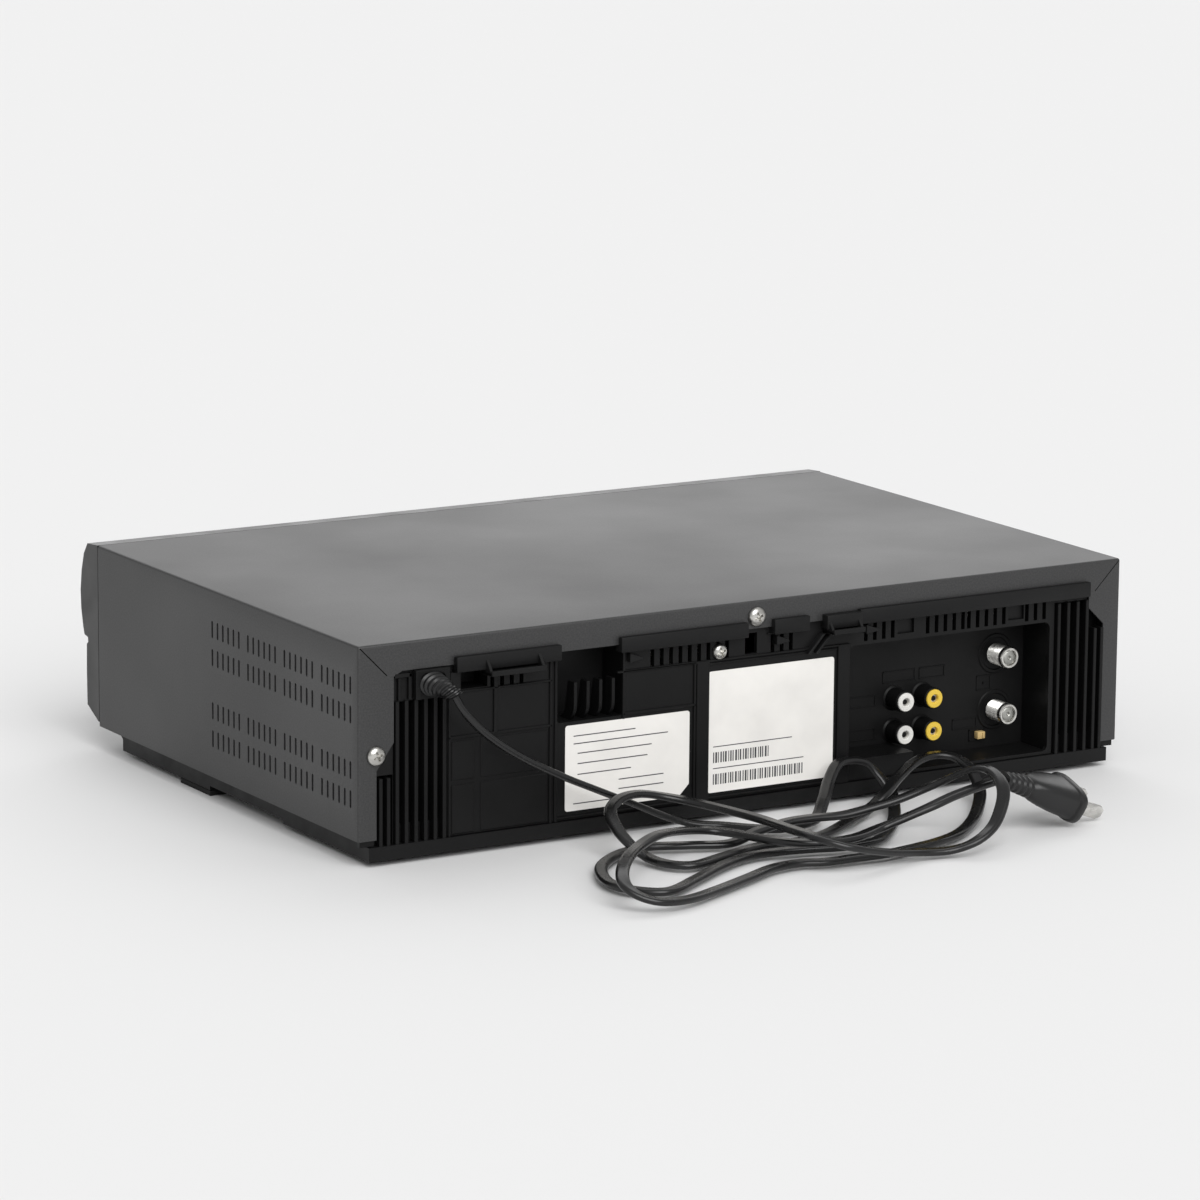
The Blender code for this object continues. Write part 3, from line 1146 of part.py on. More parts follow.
def buttons():
    """Push buttons: a cap in the bezel and a stem that reaches the switch on the board behind."""
    board = front_board_face()
    for name, x, z, width in button_places():
        face = bezel_face_y(z) - BUTTON_PROUD
        shape = blocks(((x - width / 2, face, z - BUTTON_HEIGHT / 2),
                        (x + width / 2, face + BUTTON_DEPTH, z + BUTTON_HEIGHT / 2)))
        middle = face + BUTTON_DEPTH / 2
        front_edges = [edge for edge in shape.edges if all(vert.co.y < middle for vert in edge.verts)]
        bmesh.ops.bevel(shape, geom=front_edges, offset=BUTTON_EDGE, segments=1, profile=0.5, affect="EDGES",
                        material=-1)
        cap = solid(name, shape, black_plastic(), (x, face, z))
        stop = board - BUTTON_TRAVEL - SEAT_GAP
        join(cap, blocks(((x - BUTTON_STEM / 2, face + BUTTON_DEPTH / 2, z - BUTTON_STEM / 2),
                          (x + BUTTON_STEM / 2, stop, z + BUTTON_STEM / 2))))


def boards():
    main, power = board_spans()
    for name, (left, right, front, rear) in (("main_board", main), ("power_board", power)):
        solid(name, blocks(((left + SEAT_GAP, front, BOARD_LEVEL),
                            (right - SEAT_GAP, rear, BOARD_LEVEL + BOARD_THICKNESS))), board_green())
    face = front_board_face()
    low = BEZEL_BOTTOM_Z + BEZEL_WALL + SEAT_GAP
    solid("front_board", blocks(((-FRONT_BOARD_WIDTH / 2, face, low),
                                 (FRONT_BOARD_WIDTH / 2, face + BOARD_THICKNESS, low + FRONT_BOARD_HEIGHT))),
          board_green())
    seat = BOARD_LEVEL + BOARD_THICKNESS + SEAT_GAP
    left, right, front, rear = power
    middle = (left + right) / 2
    coil = solid("power_transformer", blocks(((left + BOARD_EDGE, rear - BOARD_EDGE - TRANSFORMER_SIZE, seat),
                                              (left + BOARD_EDGE + TRANSFORMER_SIZE, rear - BOARD_EDGE,
                                               seat + TRANSFORMER_HEIGHT))), copper_tape())
    waist = TRANSFORMER_FOOT
    cut(coil, blocks(((left, rear - BOARD_EDGE - waist, seat + waist),
                      (right, rear, seat + TRANSFORMER_HEIGHT - waist))))
    centre_x = right - BOARD_EDGE - CAPACITOR_RADIUS
    centre_y = (front + rear) / 2
    solid("filter_capacitor", cylinder(CAPACITOR_RADIUS, seat, seat + CAPACITOR_HEIGHT, 12,
                                       at(max(centre_x, middle), centre_y, 0.0)), black_plastic(), smooth=True)


def post_slot(sign):
    """Start and end of the slot along which a loading post runs."""
    start = Vector((sign * POST_SLOT_START_X, POST_SLOT_START_Y, 0.0))
    end = Vector((sign * POST_SLOT_END_X, POST_SLOT_END_Y, 0.0))
    return start, end


def slotted(start, end, width, length, low, high):
    """A box along a slanted line, from half a length before its start to half a length past its end."""
    run = (end - start).length + length
    middle = (start + end) / 2
    heading = math.atan2(end.y - start.y, end.x - start.x)
    shape = bmesh.new()
    place = (Matrix.Translation((middle.x, middle.y, (low + high) / 2)) @ Matrix.Rotation(heading, 4, "Z")
             @ Matrix.Diagonal((run, width, high - low, 1.0)))
    bmesh.ops.create_cube(shape, size=1.0, matrix=place)
    return shape


def deck_chassis():
    """The pressed plate of the tape deck, with the two slots of the loading posts and the shaft holes."""
    half = DECK_WIDTH / 2
    deck = solid("deck_chassis", blocks(((-half, DECK_FRONT, DECK_LEVEL), (half, DECK_REAR, DECK_TOP_Z))),
                 zinc_steel())
    for sign in (-1, 1):
        start, end = post_slot(sign)
        cut(deck, slotted(start, end, 2 * POST_PIN_RADIUS + 2 * SLOT_CLEARANCE, 2 * POST_PIN_RADIUS
                          + 2 * SLOT_CLEARANCE, DECK_LEVEL - OVERRUN, DECK_TOP_Z + OVERRUN))
    join(deck, cylinder(BEARING_RADIUS, DECK_LEVEL + DECK_SHEET / 2, DECK_TOP_Z + BEARING_HEIGHT, 12,
                        at(CAPSTAN_X, CAPSTAN_Y, 0.0)))
    join(deck, cylinder(DRUM_SEAT_RADIUS, DECK_LEVEL + DECK_SHEET / 2, DECK_TOP_Z + DRUM_BASE_LIFT / 2, 16,
                        at(0.0, DRUM_Y, 0.0)))
    for x, y in ((CAPSTAN_X, CAPSTAN_Y), (0.0, IDLER_Y)):
        cut(deck, cylinder(CAPSTAN_RADIUS + SEAT_GAP, DECK_LEVEL - OVERRUN,
                           DECK_TOP_Z + BEARING_HEIGHT + OVERRUN, 12, at(x, y, 0.0)))
    return deck


def drum_place():
    """The tilted frame of the drum, whose local origin is under its lower rim."""
    return at(0.0, DRUM_Y, DECK_TOP_Z + DRUM_BASE_LIFT) @ Matrix.Rotation(DRUM_TILT, 4, "X")


def drum():
    """Two halves of the tilted head drum. Only the upper half turns."""
    place = drum_place()
    foot = DRUM_BASE_LIFT / 2 - 4 * SEAT_GAP
    lower = ((0.0, -foot), (DRUM_SEAT_RADIUS / 2, -foot), (DRUM_SEAT_RADIUS / 2, 0.0), (DRUM_RADIUS, 0.0),
             (DRUM_RADIUS, DRUM_LOWER_HEIGHT), (0.0, DRUM_LOWER_HEIGHT))
    solid("lower_drum", turned(lower, 32, place), zinc_steel(), smooth=True)
    start = DRUM_LOWER_HEIGHT + RUNNING_GAP
    end = start + DRUM_UPPER_HEIGHT
    upper = ((0.0, start), (DRUM_RADIUS, start), (DRUM_RADIUS, end), (DRUM_SEAT_RADIUS, end),
             (DRUM_SEAT_RADIUS, end - DRUM_SHAFT_HEIGHT / 2), (DRUM_SHAFT_RADIUS, end - DRUM_SHAFT_HEIGHT / 2),
             (DRUM_SHAFT_RADIUS, end + DRUM_SHAFT_HEIGHT), (0.0, end + DRUM_SHAFT_HEIGHT))
    solid("upper_drum", turned(upper, 32, place), bright_steel(), place @ Vector((0.0, 0.0, start)), smooth=True)


def capstan():
    """The capstan: a thin shaft up through its bearing, on a flywheel with a belt pulley under the deck."""
    top = DECK_TOP_Z + CAPSTAN_HEIGHT
    wheel_top = DECK_LEVEL - FLYWHEEL_DROP + FLYWHEEL_THICKNESS
    wheel_low = wheel_top - FLYWHEEL_THICKNESS
    pulley_top = wheel_top + PULLEY_THICKNESS / 2
    wheel_rim = wheel_top - PULLEY_THICKNESS / 2
    pulley_rim = pulley_top - PULLEY_THICKNESS / 8
    profile = ((0.0, wheel_low), (FLYWHEEL_RADIUS, wheel_low), (FLYWHEEL_RADIUS, wheel_rim),
               (PULLEY_RADIUS, wheel_rim), (PULLEY_RADIUS, pulley_rim), (CAPSTAN_RADIUS, pulley_rim),
               (CAPSTAN_RADIUS, top), (0.0, top))
    solid("capstan", turned(profile, 24, at(CAPSTAN_X, CAPSTAN_Y, 0.0)), bright_steel(),
          (CAPSTAN_X, CAPSTAN_Y, DECK_TOP_Z), smooth=True)


def belt_plane():
    """The lowest and highest level of the belt in the pulley grooves under the deck."""
    middle = DECK_LEVEL - FLYWHEEL_DROP + FLYWHEEL_THICKNESS - PULLEY_THICKNESS / 16
    return middle - BELT_WIDTH / 2, middle + BELT_WIDTH / 2


def clutch_and_belt():
    """The clutch pulley under the reels and the flat belt that the capstan drives it with."""
    belt_low, belt_high = belt_plane()
    low = belt_low - SEAT_GAP
    high = min(low + CLUTCH_THICKNESS, DECK_LEVEL - SEAT_GAP)
    gear_low = DECK_TOP_Z + IDLER_ARM_THICKNESS + 2 * SEAT_GAP
    gear_high = gear_low + IDLER_GEAR_THICKNESS
    gear_radius = IDLER_ARM_LENGTH - IDLER_GEAR_RADIUS - SEAT_GAP
    profile = ((0.0, low), (CLUTCH_RADIUS, low), (CLUTCH_RADIUS, high), (CAPSTAN_RADIUS, high),
               (CAPSTAN_RADIUS, gear_low), (gear_radius, gear_low), (gear_radius, gear_high), (0.0, gear_high))
    solid("clutch_pulley", turned(profile, 24, at(0.0, IDLER_Y, 0.0)), white_plastic(),
          (0.0, IDLER_Y, DECK_TOP_Z), smooth=True)
    outer = belt_outline(SEAT_GAP + BELT_THICKNESS)
    inner = belt_outline(SEAT_GAP)
    belt = solid("capstan_belt", prism(outer, 2, belt_low, belt_high), rubber())
    cut(belt, prism(inner, 2, belt_low - OVERRUN, belt_high + OVERRUN))


def belt_outline(offset):
    """The path round both pulleys at an offset, as (x, y) pairs: two arcs joined by straight runs."""
    first = Vector((0.0, IDLER_Y))
    second = Vector((CAPSTAN_X, CAPSTAN_Y))
    span = second - first
    heading = math.atan2(span.y, span.x)
    lean = math.asin((CLUTCH_RADIUS - PULLEY_RADIUS) / span.length)
    points = []
    steps = 8
    start = heading + math.pi / 2 - lean
    sweep = math.pi + 2 * lean
    for number in range(steps + 1):
        angle = start + sweep * number / steps
        points.append(tuple(first + Vector((math.cos(angle), math.sin(angle))) * (CLUTCH_RADIUS + offset)))
    start = start + sweep
    sweep = math.pi - 2 * lean
    for number in range(steps + 1):
        angle = start + sweep * number / steps
        points.append(tuple(second + Vector((math.cos(angle), math.sin(angle))) * (PULLEY_RADIUS + offset)))
    return points


def reels():
    """Supply and take-up reel tables, each a disc with a splined hub that turns in the cassette."""
    low = DECK_TOP_Z + SEAT_GAP
    for name, sign in (("supply_reel", -1), ("takeup_reel", 1)):
        x = sign * REEL_SPACING / 2
        disc_top = low + REEL_DISC
        profile = ((0.0, low), (REEL_RADIUS, low), (REEL_RADIUS, disc_top), (REEL_HUB_RADIUS, disc_top),
                   (REEL_HUB_RADIUS, low + REEL_HEIGHT * 0.8), (REEL_HUB_RADIUS / 2, low + REEL_HEIGHT),
                   (0.0, low + REEL_HEIGHT))
        table = solid(name, turned(profile, 24, at(x, REEL_Y, 0.0)), white_plastic(), (x, REEL_Y, low))
        wings = []
        wing = REEL_HUB_RADIUS * 1.4
        thin = REEL_HUB_RADIUS / 5
        wings.append(((x - wing, REEL_Y - thin, low + REEL_DISC / 2), (x + wing, REEL_Y + thin,
                                                                      low + REEL_HEIGHT * 0.7)))
        join(table, blocks(*wings))
        join(table, blocks(((x - thin, REEL_Y - wing, low + REEL_DISC / 2),
                            (x + thin, REEL_Y + wing, low + REEL_HEIGHT * 0.7))))


def idler():
    """The swinging arm between the reels with its gear."""
    low = DECK_TOP_Z + SEAT_GAP
    tip_y = IDLER_Y - IDLER_ARM_LENGTH
    arm = solid("idler_arm", blocks(((-IDLER_ARM_WIDTH / 2, tip_y - IDLER_ARM_WIDTH / 2, low),
                                     (IDLER_ARM_WIDTH / 2, IDLER_Y + IDLER_ARM_WIDTH / 2,
                                      low + IDLER_ARM_THICKNESS))), zinc_steel(), (0.0, IDLER_Y, low))
    cut(arm, cylinder(CAPSTAN_RADIUS + SEAT_GAP, low - OVERRUN, low + IDLER_ARM_THICKNESS + OVERRUN, 8,
                      at(0.0, IDLER_Y, 0.0)))
    pin_top = low + IDLER_ARM_THICKNESS + IDLER_GEAR_THICKNESS + SEAT_GAP
    join(arm, cylinder(CAPSTAN_RADIUS, low + IDLER_ARM_THICKNESS / 2, pin_top, 8, at(0.0, tip_y, 0.0)))
    gear_low = low + IDLER_ARM_THICKNESS + SEAT_GAP
    shape = tube(IDLER_GEAR_RADIUS, CAPSTAN_RADIUS + SEAT_GAP, gear_low, gear_low + IDLER_GEAR_THICKNESS, 24,
                 at(0.0, tip_y, 0.0))
    solid("idler_gear", shape, white_plastic(), (0.0, tip_y, gear_low))


def pinch():
    """The pinch arm with its rubber roller, swung away from the capstan."""
    low = DECK_TOP_Z + SEAT_GAP
    rest = math.pi + PINCH_SWING
    pivot = Vector((PINCH_PIVOT_X, PINCH_PIVOT_Y, 0.0))
    tip = pivot + Vector((math.cos(rest), math.sin(rest), 0.0)) * PINCH_ARM_LENGTH
    level = low + PINCH_LEVEL
    arm = solid("pinch_arm", slotted(pivot, tip, PINCH_ARM_WIDTH, PINCH_ARM_WIDTH, level,
                                     level + PINCH_ARM_THICKNESS), zinc_steel(), (pivot.x, pivot.y, level))
    join(arm, cylinder(PINCH_PIN_RADIUS, low, level + PINCH_ARM_THICKNESS / 2, 8, at(pivot.x, pivot.y, 0.0)))
    roller_low = level + PINCH_ARM_THICKNESS + SEAT_GAP
    roller_high = roller_low + PINCH_ROLLER_HEIGHT
    join(arm, cylinder(PINCH_PIN_RADIUS, level + PINCH_ARM_THICKNESS / 2, roller_high + SEAT_GAP, 8,
                       at(tip.x, tip.y, 0.0)))
    shape = tube(PINCH_ROLLER_RADIUS, PINCH_PIN_RADIUS + SEAT_GAP, roller_low, roller_high, 16,
                 at(tip.x, tip.y, 0.0))
    solid("pinch_roller", shape, rubber(), (tip.x, tip.y, roller_low), smooth=True)


def loading_posts():
    """Two posts on sliding bases that draw the tape out of the cassette and round the drum."""
    low = DECK_TOP_Z + SEAT_GAP
    for name, sign in (("supply_post", -1), ("takeup_post", 1)):
        start, end = post_slot(sign)
        heading = (end - start).normalized()
        tail = start - heading * (POST_BASE_LENGTH / 2)
        nose = start + heading * (POST_BASE_LENGTH / 2)
        base = solid(name, slotted(tail, nose, POST_BASE_WIDTH, 0.0, low, low + POST_BASE_HEIGHT),
                     white_plastic(), (start.x, start.y, low))
        join(base, cylinder(POST_PIN_RADIUS, DECK_LEVEL - SEAT_GAP, low + POST_PIN_HEIGHT, 12,
                            at(start.x, start.y, 0.0)))


def tension_arm():
    """The sprung arm that feels the tape's tension on the supply side."""
    low = DECK_TOP_Z + SEAT_GAP
    level = low + TENSION_LEVEL
    pivot = Vector((TENSION_X, TENSION_Y, 0.0))
    tip = pivot + Vector((TENSION_LENGTH, 0.0, 0.0))
    arm = solid("tension_arm", slotted(pivot, tip, PINCH_ARM_WIDTH, PINCH_ARM_WIDTH, level,
                                       level + PINCH_ARM_THICKNESS), zinc_steel(), (pivot.x, pivot.y, level))
    join(arm, cylinder(PINCH_PIN_RADIUS, low, level + PINCH_ARM_THICKNESS / 2, 8, at(pivot.x, pivot.y, 0.0)))
    join(arm, cylinder(PINCH_PIN_RADIUS, level + PINCH_ARM_THICKNESS / 2, low + POST_PIN_HEIGHT, 8,
                       at(tip.x, tip.y, 0.0)))


def fixed_heads():
    low = DECK_TOP_Z + SEAT_GAP
    for name, x, y in (("erase_head", ERASE_HEAD_X, ERASE_HEAD_Y), ("audio_head", AUDIO_HEAD_X, AUDIO_HEAD_Y)):
        shape = blocks(((x - HEAD_WIDTH / 2, y - HEAD_DEPTH / 2, low), (x + HEAD_WIDTH / 2, y + HEAD_DEPTH / 2,
                                                                       low + HEAD_HEIGHT)))
        bmesh.ops.bevel(shape, geom=shape.edges[:], offset=HEAD_DEPTH / 10, segments=1, profile=0.5,
                        affect="EDGES", material=-1)
        solid(name, shape, bright_steel())


def loading_drive():
    """The loading motor with its worm and the cam gear that moves posts and pinch arm."""
    low = DECK_TOP_Z + SEAT_GAP
    ring = []
    for number in range(CAM_TEETH * 2):
        radius = CAM_RADIUS if number % 2 else CAM_RADIUS - CAM_TOOTH
        angle = math.pi * number / CAM_TEETH
        ring.append((CAM_X + radius * math.cos(angle), CAM_Y + radius * math.sin(angle)))
    solid("cam_gear", prism(ring, 2, low, low + CAM_THICKNESS), white_plastic(), (CAM_X, CAM_Y, low))
    worm_y = CAM_Y + CAM_RADIUS + WORM_RADIUS + RUNNING_GAP
    axis_z = low + MOTOR_RADIUS
    start = CAM_X + MOTOR_GAP
    motor = solid("loading_motor", cylinder(MOTOR_RADIUS, start, start + MOTOR_LENGTH, 16,
                                            along_x(0.0, worm_y + SEAT_GAP, axis_z)), zinc_steel(), smooth=True)
    join(motor, cylinder(WORM_RADIUS, CAM_X - CAM_RADIUS / 2, start + OVERRUN, 12,
                         along_x(0.0, worm_y + SEAT_GAP, axis_z)))


def carriage():
    """The cassette carriage: fixed sides on the deck, a slider that runs in and a basket that drops in it."""
    low = DECK_TOP_Z + SEAT_GAP
    top = BASKET_TOP_Z + SLIDER_SHEET + SLIDE_GAP
    for name, sign in (("carriage_side_left", -1), ("carriage_side_right", 1)):
        inner = SIDE_OUTER - SIDE_SHEET
        outline_low = (min(sign * inner, sign * SIDE_OUTER), SIDE_FRONT, low)
        outline_high = (max(sign * inner, sign * SIDE_OUTER), SIDE_REAR, min(low + SIDE_HEIGHT, top))
        solid(name, blocks((outline_low, outline_high)), zinc_steel())
    rear_y = BASKET_FRONT_Y + BASKET_DEPTH
    outer = SLIDER_OUTER
    inner = SLIDER_OUTER - SLIDER_SHEET
    slider = solid("carriage_slider", blocks(((-outer, BASKET_FRONT_Y, BASKET_BOTTOM_Z),
                                              (outer, rear_y, BASKET_TOP_Z + SLIDE_GAP + SLIDER_SHEET))),
                   zinc_steel(), (0.0, BASKET_FRONT_Y, BASKET_TOP_Z))
    cut(slider, blocks(((-inner, BASKET_FRONT_Y - OVERRUN, BASKET_BOTTOM_Z - OVERRUN),
                        (inner, rear_y + OVERRUN, BASKET_TOP_Z + SLIDE_GAP))))
    basket = solid("cassette_basket", blocks(((-BASKET_OUTER, BASKET_FRONT_Y, BASKET_BOTTOM_Z),
                                              (BASKET_OUTER, rear_y, BASKET_TOP_Z))),
                   black_plastic(), (0.0, BASKET_FRONT_Y, BASKET_BOTTOM_Z))
    cut(basket, blocks(((-BASKET_HALF, BASKET_FRONT_Y - OVERRUN, BASKET_BOTTOM_Z + BASKET_SHEET),
                        (BASKET_HALF, rear_y - BASKET_SHEET, BASKET_TOP_Z - BASKET_SHEET))))
    opening = BASKET_HALF - BASKET_LIP
    cut(basket, blocks(((-opening, BASKET_FRONT_Y - OVERRUN, BASKET_BOTTOM_Z - OVERRUN),
                        (opening, rear_y - BASKET_SHEET, BASKET_BOTTOM_Z + BASKET_SHEET + OVERRUN))))
    stop_half = BASKET_HALF - BASKET_STOP
    cut(basket, blocks(((-stop_half, rear_y - 2 * BASKET_SHEET, BASKET_BOTTOM_Z - OVERRUN),
                        (stop_half, rear_y + OVERRUN, BASKET_TOP_Z - BASKET_SHEET))))


def boot_base():
    """Where the middle of the cord boot meets the face of the inlet block."""
    x = INLET_CENTRE_SHARE * HALF_WIDTH
    z = TOP_Z - INLET_TOP - INLET_HEIGHT / 2
    return Vector((x, REAR_Y + INLET_PROUD + SEAT_GAP, z))


def ringed_tube(shape, rings, steps):
    """Skin a row of rings, each given as centre, direction and radius, and close both ends."""
    loops = []
    for centre, direction, radius in rings:
        turn = Vector((0.0, 0.0, 1.0)).rotation_difference(direction).to_matrix()
        loop = []
        for number in range(steps):
            angle = math.tau * number / steps
            spoke = turn @ Vector((math.cos(angle), math.sin(angle), 0.0))
            loop.append(shape.verts.new(centre + spoke * radius))
        loops.append(loop)
    for first, second in zip(loops, loops[1:]):
        for number in range(steps):
            after = (number + 1) % steps
            shape.faces.new((first[number], first[after], second[after], second[number]))
    shape.faces.new(list(reversed(loops[0])))
    shape.faces.new(loops[-1])
    bmesh.ops.recalc_face_normals(shape, faces=shape.faces)
    return shape


def cord_boot():
    """The ribbed strain relief: a neck through the panel and a tapering sleeve that leans with the cord."""
    base = boot_base()
    straight = Vector((0.0, 1.0, 0.0))
    lean = (Vector(LEAD_ROUTE[1]) - Vector(LEAD_ROUTE[0])).normalized()
    tip = BOOT_TIP
    out = (tip - base).length
    rings = [(base - straight * BOOT_INSIDE, straight, BOOT_NECK_RADIUS), (base, straight, BOOT_NECK_RADIUS)]
    for number in range(2 * BOOT_RIBS + 1):
        share = number / (2 * BOOT_RIBS)
        bent = base + straight * (out * share * (1 - share)) + (tip - base) * share ** 2
        bent += (tip - base) * (share - share ** 2) * BOOT_BEND_SHARE
        direction = (straight * (1 - share) + lean * share).normalized()
        radius = BOOT_BASE_RADIUS + (BOOT_TIP_RADIUS - BOOT_BASE_RADIUS) * share
        if number % 2:
            radius -= BOOT_RIB_DEPTH
        rings.append((bent, direction, radius))
    solid("cord_boot", ringed_tube(bmesh.new(), rings, 12), vinyl(), base, smooth=True)


def smooth_path(points, step):
    """Points at an even step on a smooth curve through all the given points."""
    points = [Vector(point) for point in points]
    ends = [2 * points[0] - points[1], *points, 2 * points[-1] - points[-2]]
    fine = []
    for before, start, end, after in zip(ends, ends[1:], ends[2:], ends[3:]):
        for number in range(8):
            share = number / 8
            fine.append(0.5 * (2 * start + (end - before) * share
                               + (2 * before - 5 * start + 4 * end - after) * share ** 2
                               + (3 * start - before - 3 * end + after) * share ** 3))
    fine.append(points[-1])
    lengths = [0.0]
    for first, second in zip(fine, fine[1:]):
        lengths.append(lengths[-1] + (second - first).length)
    count = max(2, round(lengths[-1] / step))
    even = []
    place = 0
    for number in range(count + 1):
        goal = lengths[-1] * number / count
        while place < len(fine) - 2 and lengths[place + 1] < goal:
            place += 1
        share = (goal - lengths[place]) / (lengths[place + 1] - lengths[place])
        even.append(fine[place].lerp(fine[place + 1], min(max(share, 0.0), 1.0)))
    return even, lengths[-1]


def straight_ends(points, start_direction, end_direction):
    """Make both ends run straight for one cord diameter."""
    reach = 2 * CORD_RADIUS
    points = list(points)
    if start_direction:
        points.insert(1, points[0] + start_direction.normalized() * reach)
    if end_direction:
        points.insert(-1, points[-1] - end_direction.normalized() * reach)
    return points


def least_gap(points):
    """The least clear distance between two stretches of the cord that aren't neighbours."""
    fine, length = smooth_path(points, CORD_RADIUS)
    apart = 12
    least = length
    for first in range(len(fine)):
        for second in range(first + apart, len(fine)):
            least = min(least, (fine[first] - fine[second]).length)
    return least - 2 * CORD_RADIUS


def cord():
    """The mains cord: a free lead from the boot to the floor, and the bundle of loops that ends in the plug."""
    whole = [*LEAD_ROUTE, *BUNDLE_ROUTE]
    points, length = smooth_path(whole, CORD_STEP)
    gap_half = SEAT_GAP / 2
    split = min(range(len(points)), key=lambda number: (points[number] - Vector(BUNDLE_ROUTE[0])).length)
    meeting = points[split]
    heading = (points[split + 1] - points[split - 1]).normalized()
    lead = [*points[:split], meeting - heading * gap_half]
    bundle = [meeting + heading * gap_half, *points[split + 1:]]
    wire("cord_lead", straight_ends(lead, None, heading), CORD_RADIUS, vinyl(), 2)
    wire("cord_bundle", straight_ends(bundle, heading, PLUG_AXIS), CORD_RADIUS, vinyl(), 1)
    print("cord length, m", round(length, 4))
    print("least gap of the cord to itself, mm", round(least_gap(whole) * 1000, 2))


def plug_frame():
    """The plug's own frame: Z along its blades, X across its width."""
    forward = PLUG_AXIS.normalized()
    side = Vector((0.0, 0.0, 1.0)).cross(forward).normalized()
    up = forward.cross(side)
    width = side * math.cos(PLUG_ROLL) + up * math.sin(PLUG_ROLL)
    depth = forward.cross(width)
    frame = Matrix((width, depth, forward)).transposed().to_4x4()
    return Matrix.Translation(PLUG_START + forward * SEAT_GAP) @ frame


def plug_section(shape, width, thickness, height):
    """A rectangle with its corners cut, as one ring of vertices across the plug."""
    corner = thickness * PLUG_CORNER_SHARE
    half_w, half_t = width / 2, thickness / 2
    ring = ((half_w, half_t - corner), (half_w - corner, half_t), (corner - half_w, half_t),
            (-half_w, half_t - corner), (-half_w, corner - half_t), (corner - half_w, -half_t),
            (half_w - corner, -half_t), (half_w, corner - half_t))
    return [shape.verts.new((x, y, height)) for x, y in ring]


def plug():
    """A two-blade plug: ribbed relief, flared body with a rim, and a wide and a narrow blade."""
    place = plug_frame()
    shape = bmesh.new()
    loops = []
    relief = 2 * PLUG_RELIEF_RADIUS
    for number in range(2 * PLUG_RELIEF_RIBS + 1):
        height = PLUG_RELIEF_LENGTH * number / (2 * PLUG_RELIEF_RIBS)
        growth = PLUG_RELIEF_GROWTH_SHARE * number / (2 * PLUG_RELIEF_RIBS)
        size = relief * (1 + growth) - BOOT_RIB_DEPTH * (number % 2) * 2
        loops.append(plug_section(shape, size * PLUG_RELIEF_SHARES[0], size * PLUG_RELIEF_SHARES[1], height))
    neck = PLUG_NECK_SHARE * PLUG_WIDTH
    end = PLUG_RELIEF_LENGTH + PLUG_BODY_LENGTH
    neck_height = PLUG_RELIEF_LENGTH + PLUG_RIM * PLUG_RIM_SHARES[0]
    body = ((neck_height, neck, PLUG_THICKNESS * PLUG_NECK_THICKNESS_SHARE),
            (end - PLUG_RIM, PLUG_WIDTH * PLUG_FLARE_SHARES[0], PLUG_THICKNESS * PLUG_FLARE_SHARES[1]),
            (end - PLUG_RIM * PLUG_RIM_SHARES[1], PLUG_WIDTH, PLUG_THICKNESS),
            (end, PLUG_WIDTH, PLUG_THICKNESS))
    for height, width, thickness in body:
        loops.append(plug_section(shape, width, thickness, height))
    for first, second in zip(loops, loops[1:]):
        for number in range(8):
            after = (number + 1) % 8
            shape.faces.new((first[number], first[after], second[after], second[number]))
    shape.faces.new(loops[0])
    shape.faces.new(loops[-1])
    bmesh.ops.recalc_face_normals(shape, faces=shape.faces)
    bmesh.ops.transform(shape, matrix=place, verts=shape.verts)
    body = solid("plug_body", shape, vinyl(), place @ Vector((0.0, 0.0, 0.0)))
    for name, sign, width in (("plug_blade_wide", 1, BLADE_WIDE), ("plug_blade_narrow", -1, BLADE_NARROW)):
        x = sign * BLADE_SPACING / 2
        thin = BLADE_THICKNESS / 2
        socket = blocks(((x - thin - SEAT_GAP, -width / 2 - SEAT_GAP, end - BLADE_SOCKET - SEAT_GAP),
                         (x + thin + SEAT_GAP, width / 2 + SEAT_GAP, end + OVERRUN)))
        bmesh.ops.transform(socket, matrix=place, verts=socket.verts)
        cut(body, socket)
        shape = blocks(((x - thin, -width / 2, end - BLADE_SOCKET), (x + thin, width / 2, end + BLADE_LENGTH)))
        bmesh.ops.transform(shape, matrix=place, verts=shape.verts)
        blade = solid(name, shape, bright_steel())
        hole_height = end + BLADE_LENGTH - 2 * BLADE_HOLE
        hole_place = place @ at(x, 0.0, hole_height) @ Matrix.Rotation(math.pi / 2, 4, "Y")
        cut(blade, cylinder(BLADE_HOLE, -BLADE_THICKNESS, BLADE_THICKNESS, 8, hole_place))


def main():
    clear_scene()
    top_cover()
    screws()
    base_tray()
    feet()
    rear_panel()
    phono_block()
    rf_modulator()
    channel_switch()
    labels()
    front_bezel()
    cassette_door()
    display_window()
    buttons()
    boards()
    deck_chassis()
    drum()
    capstan()
    clutch_and_belt()
    reels()
    idler()
    pinch()
    loading_posts()
    tension_arm()
    fixed_heads()
    loading_drive()
    carriage()
    cord_boot()
    cord()
    plug()


main()
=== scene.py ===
"""Dresses the video cassette recorder: finishes, fine shapes, its real cord and a plain studio."""
import math

import bmesh
import bpy
from mathutils import Matrix, Vector


